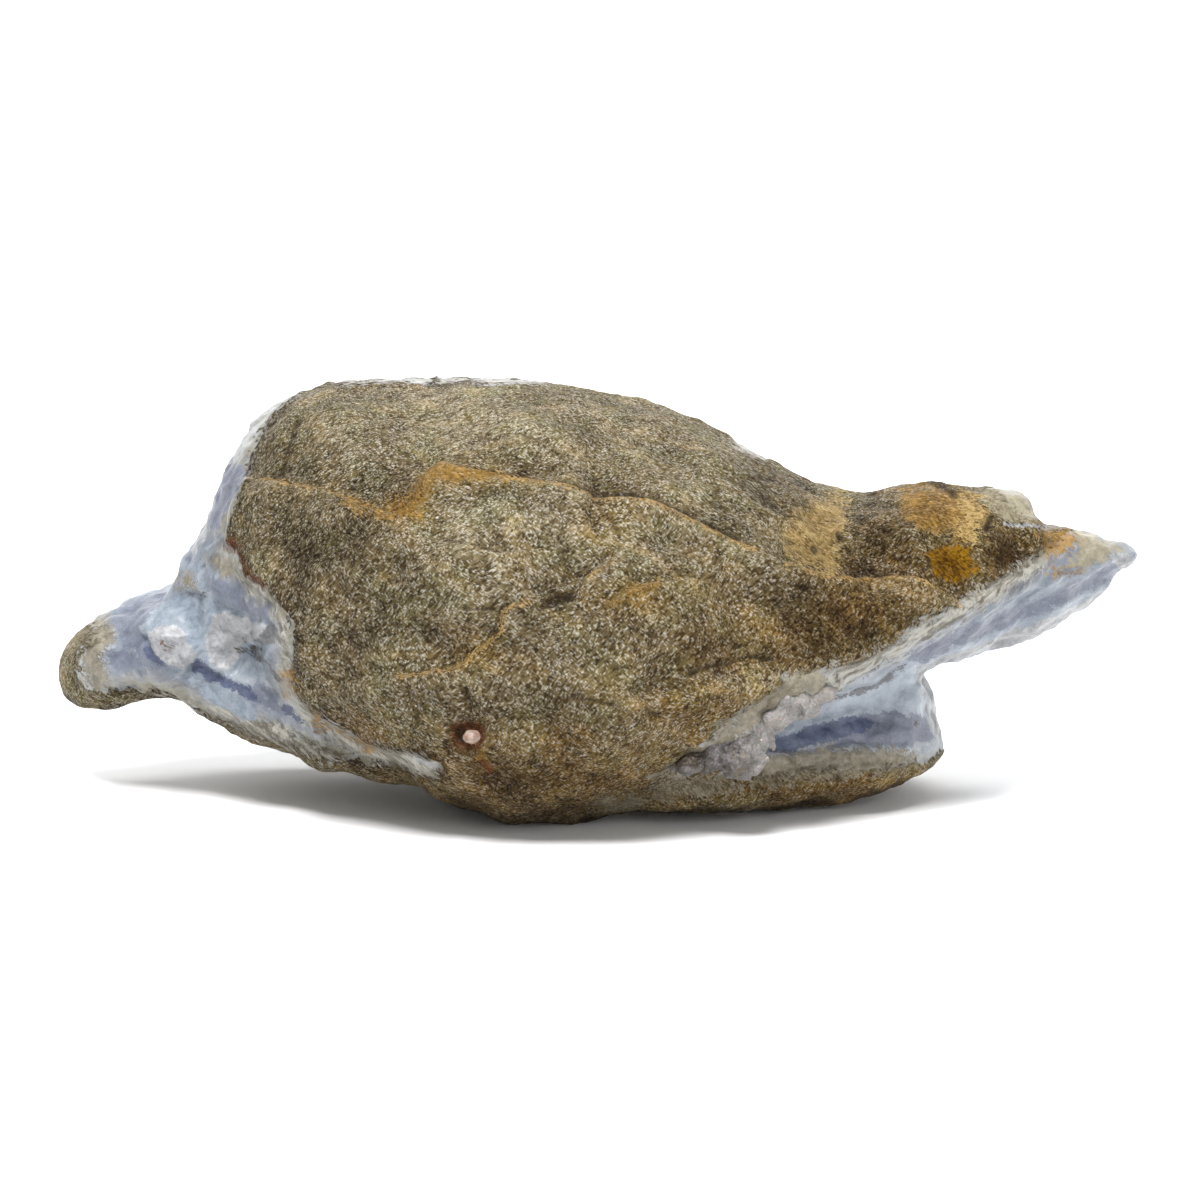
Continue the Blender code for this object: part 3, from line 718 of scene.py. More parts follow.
class Bench:
    """A material's node tree, with short ways to add the nodes a finish needs."""

    def __init__(self, name: str) -> None:
        """Start a material with a Principled shader of its own."""
        self.material = bpy.data.materials.new(name)
        self.material.use_nodes = True
        self.tree = self.material.node_tree
        self.shader = self.tree.nodes["Principled BSDF"]
        self.place = self.tree.nodes.new("ShaderNodeTexCoord").outputs["Object"]

    def join(self, source: object, socket: Socket) -> None:
        """Link an output to a socket, or set the socket if the source is a plain value."""
        if isinstance(source, Socket):
            self.tree.links.new(source, socket)
        elif isinstance(source, tuple) and len(source) == 3 and socket.type == "RGBA":
            socket.default_value = (*source, 1.0)
        else:
            socket.default_value = source

    def field(self, name: str) -> Socket:
        """Read a number stored on the points."""
        node = self.tree.nodes.new("ShaderNodeAttribute")
        node.attribute_name = name
        return node.outputs["Fac"]

    def swirled(self, run: Run) -> Socket:
        """The place, bent by wide noise and stretched along a run of grains."""
        bend = self.tree.nodes.new("ShaderNodeTexNoise")
        self.join(self.place, bend.inputs["Vector"])
        self.join(1.0 / (run.bends * METRES), bend.inputs["Scale"])
        self.join(1.0, bend.inputs["Detail"])
        shift = self.tree.nodes.new("ShaderNodeVectorMath")
        shift.operation = "MULTIPLY_ADD"
        self.join(bend.outputs["Color"], shift.inputs[0])
        self.join((run.reach * METRES,) * 3, shift.inputs[1])
        self.join(self.place, shift.inputs[2])
        slant = self.tree.nodes.new("ShaderNodeMapping")
        slant.vector_type = "TEXTURE"
        self.join(shift.outputs[0], slant.inputs["Vector"])
        self.join((0.0, math.radians(run.turn), 0.0), slant.inputs["Rotation"])
        self.join((1.0, 1.0, run.stretch), slant.inputs["Scale"])
        return slant.outputs["Vector"]

    def clouds(
        self, size: float, detail: float = 3.0, roughness: float = 0.55, at: object = None
    ) -> Socket:
        """Soft noise.

        Args:
            size: The size of its largest spots.
            detail: How many finer layers it has.
            roughness: How strong the finer layers are.
            at: Where it is read, if not at the place itself.

        Returns:
            Its value, about 0 to 1.
        """
        node = self.tree.nodes.new("ShaderNodeTexNoise")
        self.join(at or self.place, node.inputs["Vector"])
        self.join(1.0 / (size * METRES), node.inputs["Scale"])
        self.join(detail, node.inputs["Detail"])
        self.join(roughness, node.inputs["Roughness"])
        return node.outputs["Fac"]

    def grains(self, size: float, at: object = None) -> tuple[Socket, Socket]:
        """Packed grains.

        Args:
            size: The size of a grain.
            at: Where they are read, if not at the place itself.

        Returns:
            The distance to a grain's middle, and a value of its own for each grain, 0 to 1.
        """
        node = self.tree.nodes.new("ShaderNodeTexVoronoi")
        self.join(at or self.place, node.inputs["Vector"])
        self.join(1.0 / (size * METRES), node.inputs["Scale"])
        split = self.tree.nodes.new("ShaderNodeSeparateColor")
        self.join(node.outputs["Color"], split.inputs["Color"])
        return node.outputs["Distance"], split.outputs["Red"]

    def sum(self, *terms: tuple[object, float]) -> Socket:
        """Add sources up, each times its own weight."""
        total: object = 0.0
        for source, weight in terms:
            node = self.tree.nodes.new("ShaderNodeMath")
            node.operation = "MULTIPLY_ADD"
            self.join(source, node.inputs[0])
            self.join(weight, node.inputs[1])
            self.join(total, node.inputs[2])
            total = node.outputs[0]
        return total

    def side(self, low: float, high: float) -> Socket:
        """How far a place lies across, from 0 at the low end in millimetres to 1 at the high end."""
        node = self.tree.nodes.new("ShaderNodeSeparateXYZ")
        self.join(self.place, node.inputs["Vector"])
        return self.span(node.outputs["X"], low * METRES, high * METRES)

    def times(self, first: object, second: object) -> Socket:
        """Multiply two sources."""
        node = self.tree.nodes.new("ShaderNodeMath")
        node.operation = "MULTIPLY"
        self.join(first, node.inputs[0])
        self.join(second, node.inputs[1])
        return node.outputs[0]

    def span(
        self, source: object, low: float, high: float, to_low: float = 0.0, to_high: float = 1.0
    ) -> Socket:
        """Map one range of values to another, with eased ends, and stay inside it.

        Args:
            source: The value to map.
            low: Its low end.
            high: Its high end.
            to_low: What the low end becomes.
            to_high: What the high end becomes.

        Returns:
            The mapped value.
        """
        node = self.tree.nodes.new("ShaderNodeMapRange")
        node.interpolation_type = "SMOOTHSTEP"
        for value, socket in zip((source, low, high, to_low, to_high), node.inputs):
            self.join(value, socket)
        return node.outputs["Result"]

    def mix(self, share: object, first: object, second: object) -> Socket:
        """Blend from a first colour to a second by a share from 0 to 1."""
        node = self.tree.nodes.new("ShaderNodeMix")
        node.data_type = "RGBA"
        for value, socket in zip((share, first, second), (node.inputs[0], node.inputs[6], node.inputs[7])):
            self.join(value, socket)
        return node.outputs[2]

    def tinge(self, share: object, colour: object, by: Colour) -> Socket:
        """Multiply a colour by another, by a share from 0 to 1."""
        result = self.mix(share, colour, by)
        result.node.blend_type = "MULTIPLY"
        return result

    def mix_value(self, share: object, first: object, second: object) -> Socket:
        """Blend from a first value to a second by a share from 0 to 1."""
        node = self.tree.nodes.new("ShaderNodeMix")
        for value, socket in zip((share, first, second), (node.inputs[0], node.inputs[2], node.inputs[3])):
            self.join(value, socket)
        return node.outputs[0]

    def ramp(self, source: object, stops: Stops) -> Socket:
        """Turn a value into a colour by stops.

        Args:
            source: The value, 0 to 1.
            stops: The value and colour of each stop, in order.

        Returns:
            The colour.
        """
        node = self.tree.nodes.new("ShaderNodeValToRGB")
        self.join(source, node.inputs["Fac"])
        steps = node.color_ramp.elements
        while len(steps) < len(stops):
            steps.new(0.5)
        for step, (at, colour) in zip(steps, stops):
            step.position = at
            step.color = (*colour, 1.0)
        return node.outputs["Color"]

    def relief(self, height: object, depth: float, under: object = None) -> Socket:
        """Bend the surface's normal by a height.

        Args:
            height: The height, about 0 to 1.
            depth: What a height of 1 stands for.
            under: The normal it starts from, if it isn't the surface's own.

        Returns:
            The bent normal.
        """
        node = self.tree.nodes.new("ShaderNodeBump")
        self.join(depth * METRES, node.inputs["Distance"])
        self.join(height, node.inputs["Height"])
        if under is not None:
            self.join(under, node.inputs["Normal"])
        return node.outputs["Normal"]

    def finish(self, **sockets: object) -> bpy.types.Material:
        """Set the shader's sockets, given by name with _ for a space, and return the material."""
        for name, source in sockets.items():
            self.join(source, self.shader.inputs[name.replace("_", " ")])
        return self.material


@dataclass(frozen=True)
class Stain:
    """How one tint looks.

    It has a darker and a lighter colour. Ragged says how far noise moves its edge, grainy how far the edge
    breaks up into single flecks, and soft how wide it fades, in millimetres. A threaded one shows threads
    of both colours, the others spots.
    """

    tint: Tint
    low: Colour
    high: Colour
    ragged: float = 0.5
    grainy: float = 0.6
    soft: float = 0.15
    strength: float = 0.9
    threaded: bool = False


@dataclass(frozen=True)
class StoneFinish:
    """The stone's finish: a grainy rind, layered agate, and stains over both, with painted shade in
    hollows, cracks and low parts and painted highlights on crests and ledges.
    """

    grain: float = 0.18
    rind_stops: Stops = (
        (0.0, (0.010, 0.006, 0.003)),
        (0.25, (0.052, 0.036, 0.016)),
        (0.5, (0.145, 0.112, 0.057)),
        (0.72, (0.30, 0.252, 0.155)),
        (1.0, (0.78, 0.74, 0.61)),
    )
    glint: Colour = (0.66, 0.64, 0.57)
    olive: Colour = (0.90, 1.0, 0.84)
    rusty: Colour = (1.12, 0.84, 0.44)
    bleached: Colour = (0.98, 1.0, 1.10)
    pale_streak: Colour = (0.32, 0.34, 0.36)
    dark_streak: Colour = (0.075, 0.088, 0.12)
    # Painted highlight on the agate's crests.
    crest_painted_highlight: Colour = (0.38, 0.39, 0.40)
    frost: Colour = (0.46, 0.50, 0.55)
    # Painted shade in the agate's dips.
    dip_painted_shade: Colour = (0.55, 0.58, 0.66)
    left_grains: Run = Run(14.0, 5.0, -52.0, 3.2)
    right_grains: Run = Run(9.0, 3.0, 42.0, 2.8)
    left_threads: Run = Run(9.0, 3.0, -48.0, 4.0)
    right_threads: Run = Run(9.0, 3.0, 62.0, 5.0)
    streaks: Run = Run(9.0, 8.0, 60.0, 2.4)
    grain_bump: float = 0.34
    scuff_bump: float = 0.45
    layer_stops: Stops = (
        (0.0, (0.155, 0.135, 0.095)),
        (0.10, (0.185, 0.172, 0.13)),
        (0.26, (0.225, 0.222, 0.20)),
        (0.42, (0.155, 0.165, 0.19)),
        (0.60, (0.150, 0.174, 0.208)),
        (1.0, (0.20, 0.23, 0.27)),
    )
    stains: tuple[Stain, ...] = (
        Stain(Tint.FIBRE, (0.075, 0.06, 0.035), (0.37, 0.355, 0.31), 1.5, 1.5, 0.8, 0.85, threaded=True),
        Stain(Tint.CREAM, (0.14, 0.115, 0.065), (0.31, 0.277, 0.192), 1.0, 1.2, 0.4, 0.85),
        Stain(Tint.LAVENDER, (0.082, 0.09, 0.122), (0.152, 0.165, 0.212), 1.0, 0.4, 0.3, 0.85),
        Stain(Tint.ICE, (0.14, 0.17, 0.205), (0.245, 0.28, 0.325), 0.3, 0.15, 0.08, 0.9),
        # Painted shadow of the slots, dark blue.
        Stain(Tint.PAINTED_SLOT_SHADOW, (0.027, 0.035, 0.070), (0.074, 0.088, 0.148), 0.7, 0.3, 0.14),
        Stain(Tint.GREY, (0.05, 0.05, 0.052), (0.15, 0.15, 0.155), 0.6, 0.3, 0.12),
        Stain(Tint.MURK, (0.06, 0.048, 0.025), (0.25, 0.217, 0.157), 1.2, 1.4, 0.5, 0.9),
        Stain(Tint.WHITE, (0.17, 0.172, 0.178), (0.37, 0.37, 0.372), 0.4, 0.2, 0.09, 0.85),
        Stain(Tint.OCHRE, (0.055, 0.024, 0.004), (0.31, 0.176, 0.038), 1.4, 1.6, 0.5, 0.85),
        # Partly real ochre, partly a painted highlight on the ledges' top edges.
        Stain(Tint.SEAM, (0.06, 0.03, 0.008), (0.42, 0.27, 0.10), 0.5, 0.8, 0.25, 0.85),
        Stain(Tint.GOLD, (0.10, 0.055, 0.012), (0.43, 0.31, 0.13), 1.9, 1.8, 0.7, 0.8),
        Stain(Tint.AMBER, (0.05, 0.018, 0.0), (0.25, 0.125, 0.002), 1.0, 0.9, 0.5, 0.97),
        Stain(Tint.RUST, (0.022, 0.005, 0.002), (0.15, 0.05, 0.016), 0.6, 0.8, 0.3),
        # Painted shade, near black.
        Stain(Tint.DARK, (0.006, 0.004, 0.002), (0.045, 0.03, 0.015), 0.4, 0.5, 0.2, 0.88),
    )

    def rind(self, bench: Bench) -> tuple[Socket, Socket, Socket]:
        """The rind's colour: pale flecks of quartz packed in brown, with a painted glint on them.

        Args:
            bench: The material's node tree.

        Returns:
            The colour, the height of the flecks, and each fleck's own value.
        """
        left, right = bench.swirled(self.left_grains), bench.swirled(self.right_grains)
        pit, own = bench.grains(self.grain, left)
        other_pit, other = bench.grains(self.grain * 1.25, right)
        flecks = bench.times(bench.span(own, 0.56, 0.80), bench.span(pit, 0.62, 0.28))
        crossed = bench.times(bench.span(other, 0.64, 0.88), bench.span(other_pit, 0.62, 0.28))
        holes = bench.span(other, 0.40, 0.12)
        blots, wide = bench.clouds(1.3, 3.0, 0.6), bench.clouds(13.0, 2.0)
        mid = bench.clouds(3.0, 3.0, 0.55, left)
        # The dimming cast is painted shade; the paling cast is painted light over the dome's top.
        painted_soft_shade, pale, hue = (bench.field(cast.value) for cast in (Cast.PAINTED_SOFT_SHADE, Cast.PALE_AND_TOP_LIGHT, Cast.WARM))
        # Painted shadow along the rind's edge, on the left side.
        edge_painted_shadow = bench.times(bench.span(bench.field("rind"), 0.1, 1.4, 1.0, 0.0), bench.side(10.0, -20.0))
        # The relief height paints shade into the hollows and light onto the crests.
        shade = bench.sum(
            (own, 0.12), (other, 0.08), (holes, -0.17), (blots, 0.46), (mid, 0.50), (wide, 0.34),
            (painted_soft_shade, -0.22), (pale, 0.18), (bench.field("crest"), 0.13), (edge_painted_shadow, -0.20), (-0.29, 1.0),
        )
        colour = bench.ramp(shade, self.rind_stops)
        olive = bench.span(bench.clouds(6.0, 2.0), 0.44, 0.62)
        colour = bench.tinge(bench.times(olive, 0.6), colour, self.olive)
        warm = bench.sum((hue, 1.0), (bench.span(mid, 0.5, 0.68), 0.30))
        colour = bench.tinge(warm, colour, self.rusty)
        colour = bench.tinge(pale, colour, self.bleached)
        # Pale quartz flecks with a painted glint, weaker in the darker, warmer and painted-shade parts.
        shine = bench.sum((flecks, 0.44), (crossed, 0.36))
        strength = bench.sum((bench.span(shade, 0.1, 0.6, 0.3, 1.0), 1.0), (painted_soft_shade, -0.25), (hue, -0.2))
        colour = bench.mix(bench.times(shine, strength), colour, self.glint)
        return colour, bench.sum((pit, -0.8), (other_pit, -0.7), (blots, 0.6), (0.5, 1.0)), own

    def fringe(self, bench: Bench) -> Socket:
        """The threads that run across the rind's edge, along it on the left and rising on the right.

        Args:
            bench: The material's node tree.

        Returns:
            Their value, about 0 to 1.
        """
        left = bench.clouds(0.8, 4.0, 0.6, bench.swirled(self.left_threads))
        right = bench.clouds(0.8, 4.0, 0.6, bench.swirled(self.right_threads))
        return bench.mix_value(bench.side(-25.0, 0.0), left, right)

    def agate(self, bench: Bench, blots: object, fine: object) -> Socket:
        """The agate's colour: layers that follow the rind, with pale, cloudy breaks, painted highlights on
        its crests and painted shade in its dips.

        Args:
            bench: The material's node tree.
            blots: Noise of middling size.
            fine: Fine noise.

        Returns:
            The colour.
        """
        depth = bench.sum((bench.field("rind"), -0.17), (blots, 0.55), (fine, 0.25), (-0.38, 1.0))
        colour = bench.ramp(depth, self.layer_stops)
        streaks = bench.clouds(1.8, 5.0, 0.65, bench.swirled(self.streaks))
        colour = bench.mix(bench.times(bench.span(streaks, 0.52, 0.64), 0.55), colour, self.pale_streak)
        colour = bench.mix(bench.times(bench.span(streaks, 0.47, 0.34), 0.6), colour, self.dark_streak)
        # Painted highlights on the crests and painted shade in the dips, from the relief height.
        crest = bench.field("crest")
        colour = bench.mix(bench.span(crest, 0.2, 0.8, 0.0, 0.35), colour, self.crest_painted_highlight)
        colour = bench.mix(bench.times(bench.field(Cast.PALE_AND_TOP_LIGHT.value), 0.7), colour, self.frost)
        return bench.tinge(bench.span(crest, -0.15, -0.7, 0.0, 0.8), colour, self.dip_painted_shade)

    def material(self) -> bpy.types.Material:
        """Build the material.

        Returns:
            The stone's material.
        """
        bench = Bench("weathered_rind_and_agate")
        blots, fine = bench.clouds(1.8, 4.0, 0.62), bench.clouds(0.6, 3.0, 0.6)
        rind, bumps, own = self.rind(bench)
        threads = self.fringe(bench)
        edge = bench.sum(
            (bench.field("rind"), 1.0), (blots, 2.0), (fine, 0.8), (threads, 4.0), (-3.4, 1.0)
        )
        covered, bare = bench.span(edge, -0.16, 0.24), bench.span(edge, 0.24, -0.16)
        colour = bench.mix(covered, self.agate(bench, blots, fine), rind)
        wide = bench.clouds(4.5, 2.0)
        speck = bench.sum((own, 0.75), (fine, 0.8), (blots, 1.1), (wide, 1.2), (-1.42, 1.0))
        cloud = bench.sum((blots, 2.3), (fine, 1.5), (-1.4, 1.0))
        spots, strands = bench.mix_value(covered, cloud, speck), bench.span(threads, 0.40, 0.60)
        for stain in self.stains:
            reach = bench.sum(
                (bench.field(stain.tint.value), 1.0), (blots, 2.6 * stain.ragged),
                (fine, 1.2 * stain.ragged), (own, stain.grainy),
                (-1.9 * stain.ragged - 0.5 * stain.grainy, 1.0),
            )
            share = bench.times(bench.span(reach, -stain.soft, stain.soft), stain.strength)
            mottled = bench.mix(strands if stain.threaded else spots, stain.low, stain.high)
            colour = bench.mix(share, colour, mottled)
        normal = bench.relief(bench.times(covered, bumps), self.grain_bump)
        scuffs = bench.sum((fine, 0.5), (blots, 0.8))
        normal = bench.relief(bench.times(bare, scuffs), self.scuff_bump, normal)
        mirrors = bench.span(own, 0.80, 0.95, 0.0, -0.42)
        gloss = bench.sum((mirrors, 1.0), (covered, 0.30), (fine, 0.2), (0.34, 1.0))
        return bench.finish(
            Base_Color=colour,
            Roughness=gloss,
            Normal=normal,
            Specular_IOR_Level=0.08,
            Coat_Weight=bench.sum((bare, 0.42), (bench.span(own, 0.85, 0.95), 0.25)),
            Coat_Roughness=0.35,
            Subsurface_Weight=bench.times(bare, 0.25),
            Subsurface_Radius=(0.9, 0.95, 1.0),
            Subsurface_Scale=0.0012,
        )


@dataclass(frozen=True)
class SugarFinish:
    """The finish of the hollow's crust: fine quartz sugar, stained in warm patches, with painted shade in
    its dips and painted light on its lumps.
    """

    grain: float = 0.45
    stops: Stops = (
        (0.0, (0.022, 0.015, 0.009)),
        (0.3, (0.062, 0.053, 0.046)),
        (0.55, (0.120, 0.107, 0.106)),
        (1.0, (0.25, 0.234, 0.236)),
    )
    stain: Colour = (0.17, 0.125, 0.07)
    bright: Colour = (0.35, 0.335, 0.32)
    bright_side: tuple[float, float] = (17.0, 24.0)
    bump: float = 0.3

    def material(self) -> bpy.types.Material:
        """Build the material.

        Returns:
            The crust's material.
        """
        bench = Bench("sugary_quartz")
        blots, fine = bench.clouds(2.2, 4.0, 0.6), bench.clouds(0.7)
        pit, own = bench.grains(self.grain)
        # The lumps' height paints shade into the dips and light onto the lumps.
        shade = bench.sum(
            (own, 0.34), (blots, 0.75), (fine, 0.4), (pit, -0.2),
            (bench.field("crest"), 0.55), (-0.22, 1.0),
        )
        colour = bench.ramp(shade, self.stops)
        warm = bench.span(bench.clouds(3.5, 2.0), 0.52, 0.66)
        colour = bench.mix(bench.times(warm, 0.4), colour, self.stain)
        colour = bench.mix(bench.times(bench.side(*self.bright_side), 0.5), colour, self.bright)
        normal = bench.relief(bench.sum((pit, -0.9), (fine, 0.5)), self.bump)
        gloss = bench.span(own, 0.75, 0.95, 0.55, 0.18)
        return bench.finish(
            Base_Color=colour, Roughness=gloss, Normal=normal,
            Subsurface_Weight=0.2, Subsurface_Scale=0.001,
        )


@dataclass(frozen=True)
class BeadFinish:
    """The finish of the quartz bead: pinkish and glassy, in blotches of a darker and a paler pink."""

    low: Colour = (0.20, 0.125, 0.09)
    high: Colour = (0.34, 0.265, 0.22)
    bump: float = 0.15

    def material(self) -> bpy.types.Material:
        """Build the material.

        Returns:
            The bead's material.
        """
        bench = Bench("pink_quartz")
        blots = bench.clouds(0.9)
        colour = bench.mix(bench.span(blots, 0.35, 0.65), self.low, self.high)
        normal = bench.relief(bench.clouds(0.5), self.bump)
        return bench.finish(
            Base_Color=colour, Normal=normal, Roughness=0.25, Subsurface_Weight=0.3, Subsurface_Scale=0.001
        )


@dataclass(frozen=True)
class FloorFinish:
    """The plain pale floor."""

    colour: Colour = (0.86, 0.86, 0.86)

    def material(self) -> bpy.types.Material:
        """Build the floor's material."""
        return Bench("pale_floor").finish(Base_Color=self.colour, Roughness=0.9)


@dataclass
class WeatheredStone:
    """The whole stone in fine detail, rind, agate and all.

    Layers of lumps and pits give the size and the height of each. A turn is the part of a normal at which
    the rind ends, and how many millimetres its edge moves for a whole part.
    """

    sight: Sightline
    voxel: float = 0.57
    easing: int = 4
    reach: float = 6.0
    back_turn: tuple[float, float] = (0.17, 9.0)
    underside: float = 9.0
    foot_turn: tuple[float, float] = (0.1875, 8.0)
    rind_step: float = 0.28
    step_width: float = 0.5
    blend_width: float = 2.5
    rind_lumps: Layers = ((6.0, 0.5), (2.1, 0.22), (1.15, 0.16))
    folds: Layers = ((12.0, 0.8), (4.5, 0.25))
    fold_level: float = 0.2
    rugged: Layers = ((2.6, 0.8), (1.3, 0.4))
    rugged_level: float = 0.5
    agate_lumps: Layers = ((3.0, 0.4), (1.3, 0.2))
    chips: Layers = ((6.0, 1.1), (2.4, 0.4))
    chip_level: float = 0.45
    crease_slope: float = 0.28
    fray: tuple[float, float] = (4.0, 0.5)
    wander: Layers = ((5.0, 0.35), (2.0, 0.22))

    def rind_distance(self, places: np.ndarray, normals: np.ndarray, spots: np.ndarray) -> np.ndarray:
        """Measure how deep inside the rind's cover each point is.

        Args:
            places: The points' places.
            normals: The points' normals.
            spots: The points' spots on the front drawing.

        Returns:
            The distance to the rind's edge, above 0 on the rind and below 0 on bare agate.
        """
        step = self.sight.step()
        cover = depth_in(spots, RIND_OUTLINE) * step
        frayed = self.fray[1] * lumps(places, self.fray[0], Pattern.FRAY)
        for width, corners in RIND_STRIPS:
            cover = np.maximum(cover, (width / 2 - off_line(spots, corners)[0]) * step)
        for width, corners in BARE_STRIPS:
            cover = np.minimum(cover, (off_line(spots, corners)[0] - width / 2) * step + frayed)
        cover = np.minimum(cover, (self.back_turn[0] - normals[:, 1]) * self.back_turn[1])
        turned = (-normals[:, 2] - self.foot_turn[0]) * self.foot_turn[1]
        below = np.minimum(self.underside - places[:, 2], turned)
        return np.clip(np.maximum(cover, below), -self.reach, self.reach)

    def wandering(self, places: np.ndarray, spots: np.ndarray) -> np.ndarray:
        """Shift spots of the drawing a little, so that lines on it don't run smooth.

        Args:
            places: The points' places.
            spots: The points' spots on the front drawing.

        Returns:
            The shifted spots.
        """
        for size, reach in self.wander:
            shift = np.column_stack([lumps(places, size, way) for way in (Pattern.ACROSS, Pattern.DOWN)])
            spots = spots + shift * reach / self.sight.step()
        return spots

    def creased(self, spots: np.ndarray, rind: np.ndarray) -> np.ndarray:
        """Raise the skin by its creases.

        Args:
            spots: The points' spots on the front drawing, wandering a little.
            rind: 1 on the rind, 0 off it.

        Returns:
            How far each point is raised.
        """
        raised = np.zeros(len(spots))
        for crease in CREASES:
            distance, above = off_line(spots, crease.corners)
            fade = np.exp(-((distance / crease.width) ** 2)) * (1.0 - rind if crease.bare else rind)
            if crease.groove:
                raised -= crease.height * fade
            else:
                slope = np.tanh(above * self.sight.step() / self.crease_slope)
                raised -= 0.5 * crease.height * slope * fade
        return raised

    def relief(self, places: np.ndarray, rind_depth: np.ndarray, spots: np.ndarray) -> np.ndarray:
        """Work out the fine relief.

        Args:
            places: The points' places.
            rind_depth: How deep inside the rind's cover each point is.
            spots: The points' spots on the front drawing, wandering a little.

        Returns:
            How far each point is raised along its normal.
        """
        raised = self.creased(spots, rise(rind_depth, self.step_width))
        rind = rise(rind_depth, self.blend_width)
        for size, height in self.rind_lumps:
            raised += rind * height * lumps(places, size)
        for size, height in self.folds:
            raised += rind * height * (np.abs(lumps(places, size, Pattern.FOLDS)) - self.fold_level)
        rough = cast_over(spots, Cast.ROUGH)
        for size, height in self.rugged:
            raised += rough * height * (self.rugged_level - cells(places, size, Pattern.RUGGED))
        for size, height in self.agate_lumps:
            raised += (1.0 - rind) * height * lumps(places, size, Pattern.AGATE)
        for size, height in self.chips:
            raised += (1.0 - rind) * height * (cells(places, size) - self.chip_level)
        return raised

    def mark(self, piece: bpy.types.Object, spots: np.ndarray, facing: np.ndarray) -> None:
        """Store the stains, the painted shade and the casts of the front on the piece's points.

        A stain is stored as the distance inside its edge, in millimetres, and a cast as its strength.

        Args:
            piece: The stone.
            spots: The points' spots on the front drawing, wandering a little.
            facing: How squarely each point faces the eye, -1 to 1.
        """
        step = self.sight.step()
        seen = np.clip(0.5 + 4.0 * facing, 0.0, 1.0)
        for tint in Tint:
            depth = np.full(len(spots), -self.reach)
            for width, corners in STROKES.get(tint, ()):
                depth = np.maximum(depth, (width / 2 - off_line(spots, corners)[0]) * step)
            for outline in AREAS.get(tint, ()):
                depth = np.maximum(depth, depth_in(spots, outline) * step)
            name_field(piece, tint.value, depth - self.reach * (1.0 - seen))
        for cast in Cast:
            name_field(piece, cast.value, cast_over(spots, cast) * seen)

    def build(self, node: bpy.types.Object) -> bpy.types.Object:
        """Build the dressed stone from the CAD stone.

        Args:
            node: The CAD stone.

        Returns:
            The dressed stone.
        """
        piece = merged_copy(node, "weathered_stone")
        remesh(piece, self.voxel, self.easing)
        places, normals = read_skin(piece)
        spots = self.wandering(places, self.sight.drawing(places))
        depth = self.rind_distance(places, normals, spots)
        crest = self.relief(places, depth, spots)
        raised = crest + self.rind_step * (rise(depth, self.step_width) - 0.5)
        write_skin(piece, places + normals * raised[:, None], "stone")
        name_field(piece, "rind", depth)
        # The relief height is kept for painted shade in the hollows and painted highlights on the crests.
        name_field(piece, "crest", crest)
        self.mark(piece, spots, normals @ self.sight.back())
        piece.data.materials.append(StoneFinish().material())
        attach(piece, "root")
        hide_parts("stone")
        return piece


@dataclass
class SugaryCrust:
    """The crust of the right-hand hollow, in fine lumps of quartz sugar."""

    voxel: float = 0.28
    easing: int = 3
    sugar: Layers = ((2.2, 0.9), (0.95, 0.4))
    level: float = 0.5

    def build(self, node: bpy.types.Object) -> bpy.types.Object:
        """Build the dressed crust from the CAD crust.

        Args:
            node: The CAD crust.

        Returns:
            The dressed crust.
        """
        piece = merged_copy(node, "sugary_crust")
        remesh(piece, self.voxel, self.easing)
        places, normals = read_skin(piece)
        raised = np.zeros(len(places))
        for size, height in self.sugar:
            raised += height * (self.level - cells(places, size))
        write_skin(piece, places + normals * raised[:, None], "hollow_crust")
        # The lumps' height is kept for the painted shade in the dips.
        name_field(piece, "crest", raised)
        piece.data.materials.append(SugarFinish().material())
        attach(piece, "root")
        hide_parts("hollow_crust")
        return piece


@dataclass
class QuartzBead:
    """The bead of quartz in its pit."""

    voxel: float = 0.1
    easing: int = 2
    bumps: float = 0.12
    bump_size: float = 0.9

    def build(self, node: bpy.types.Object) -> bpy.types.Object:
        """Build the dressed bead from the CAD bead.

        Args:
            node: The CAD bead.

        Returns:
            The dressed bead.
        """
        piece = merged_copy(node, "pink_bead")
        remesh(piece, self.voxel, self.easing)
        places, normals = read_skin(piece)
        raised = self.bumps * lumps(places, self.bump_size)
        write_skin(piece, places + normals * raised[:, None], "quartz_bead")
        piece.data.materials.append(BeadFinish().material())
        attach(piece, "root")
        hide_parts("quartz_bead")
        return piece


@dataclass(frozen=True)
class Softbox:
    """One soft studio light: where it stands, its width in metres, and its power in watts."""

    name: str
    place: tuple[float, float, float]
    width: float
    power: float


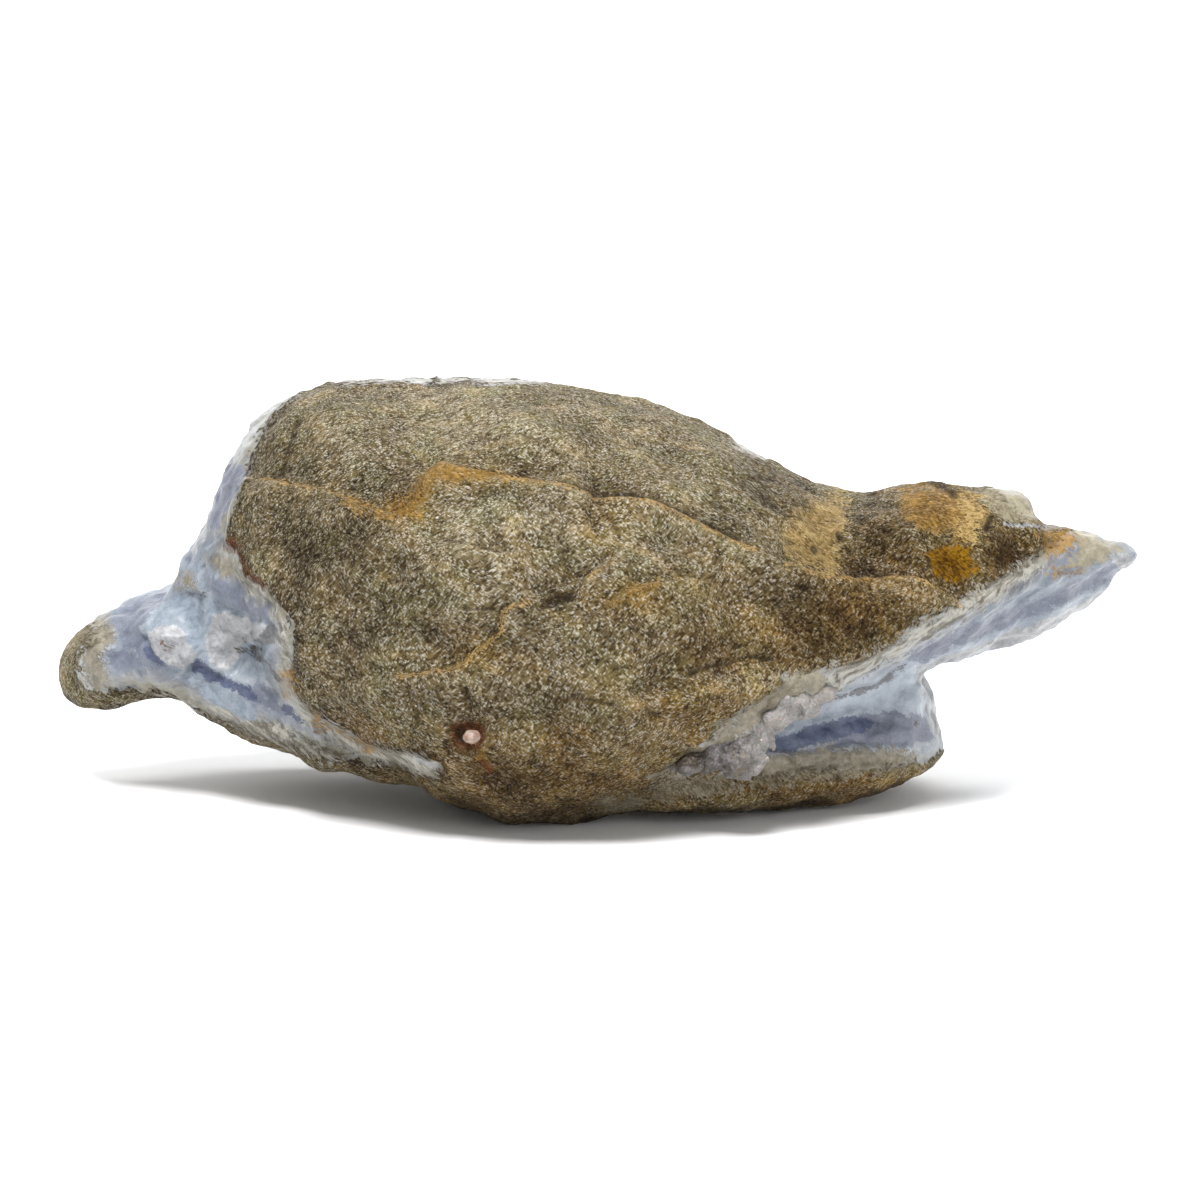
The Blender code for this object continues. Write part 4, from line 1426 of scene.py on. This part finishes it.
@dataclass
class Studio:
    """The floor, the lights and the camera. The floor's sizes and the lights' places are in metres."""

    sight: Sightline
    floor_width: float = 4.0
    bend_start: float = 0.75
    bend_radius: float = 0.45
    floor_rows: int = 240
    air: Colour = (1.0, 1.0, 1.0)
    air_strength: float = 0.37
    lights: tuple[Softbox, ...] = (
        Softbox("key", (-0.12, -0.38, 0.95), 0.32, 16.5),
        Softbox("fill", (0.60, -0.80, 0.35), 0.7, 4.0),
        Softbox("edge_painted_shadow", (0.10, 0.70, 0.60), 0.6, 1.0),
    )
    back_light: Softbox = Softbox("backdrop", (0.0, 0.40, 0.80), 0.8, 13.0)
    back_aim: tuple[float, float, float] = (0.0, 1.15, 0.15)

    def floor(self) -> None:
        """Lay the plain floor, swept up far behind the stone."""
        bpy.ops.object.select_all(action="DESELECT")
        bpy.ops.mesh.primitive_grid_add(
            x_subdivisions=2, y_subdivisions=self.floor_rows, size=self.floor_width
        )
        plane = bpy.context.active_object
        plane.name = "floor"
        flat = np.empty(3 * len(plane.data.vertices))
        plane.data.vertices.foreach_get("co", flat)
        places = flat.reshape(-1, 3)
        beyond = np.maximum(places[:, 1] - self.bend_start, 0.0)
        turn = np.minimum(beyond / self.bend_radius, math.pi / 2)
        places[:, 1] = np.minimum(places[:, 1], self.bend_start) + self.bend_radius * np.sin(turn)
        places[:, 2] = self.bend_radius * (1.0 - np.cos(turn)) + beyond - self.bend_radius * turn
        plane.data.vertices.foreach_set("co", places.ravel())
        plane.data.shade_smooth()
        plane.data.materials.append(FloorFinish().material())

    def light(self) -> None:
        """Set the soft lights, turned to the stone or the backdrop, and the air's own light."""
        stone = tuple(step * METRES for step in self.sight.aim)
        for box, aim in [(box, stone) for box in self.lights] + [(self.back_light, self.back_aim)]:
            lamp = bpy.data.lights.new(box.name, "AREA")
            lamp.size = box.width
            lamp.energy = box.power
            thing = bpy.data.objects.new(box.name, lamp)
            thing.location = box.place
            thing.rotation_euler = (Vector(aim) - Vector(box.place)).to_track_quat("-Z", "Y").to_euler()
            bpy.context.scene.collection.objects.link(thing)
        world = bpy.data.worlds.new("studio_air")
        world.use_nodes = True
        sky = world.node_tree.nodes["Background"]
        sky.inputs["Color"].default_value = (*self.air, 1.0)
        sky.inputs["Strength"].default_value = self.air_strength
        bpy.context.scene.world = world
        bpy.context.scene.view_settings.view_transform = "Standard"

    def camera(self) -> None:
        """Set the camera on the sightline."""
        lens = bpy.data.cameras.new("camera")
        lens.lens = self.sight.lens
        lens.sensor_width = self.sight.sensor
        lens.clip_start = 0.01
        thing = bpy.data.objects.new("camera", lens)
        thing.location = Vector(self.sight.eye()) * METRES
        thing.rotation_euler = Vector(-self.sight.back()).to_track_quat("-Z", "Y").to_euler()
        bpy.context.scene.collection.objects.link(thing)
        bpy.context.scene.camera = thing


def main() -> None:
    """Dress the stone, the crust and the bead, set the studio, and report each piece."""
    logging.basicConfig(level=logging.INFO, format="%(message)s")
    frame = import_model()
    sight = Sightline()
    nodes = frame["nodes"]
    pieces = [
        WeatheredStone(sight).build(nodes["stone"]),
        SugaryCrust().build(nodes["hollow_crust"]),
        QuartzBead().build(nodes["quartz_bead"]),
    ]
    for piece in pieces:
        LOG.info("%s: %d faces", piece.name, len(piece.data.polygons))
    studio = Studio(sight)
    studio.floor()
    studio.light()
    studio.camera()


if __name__ == "__main__":
    main()
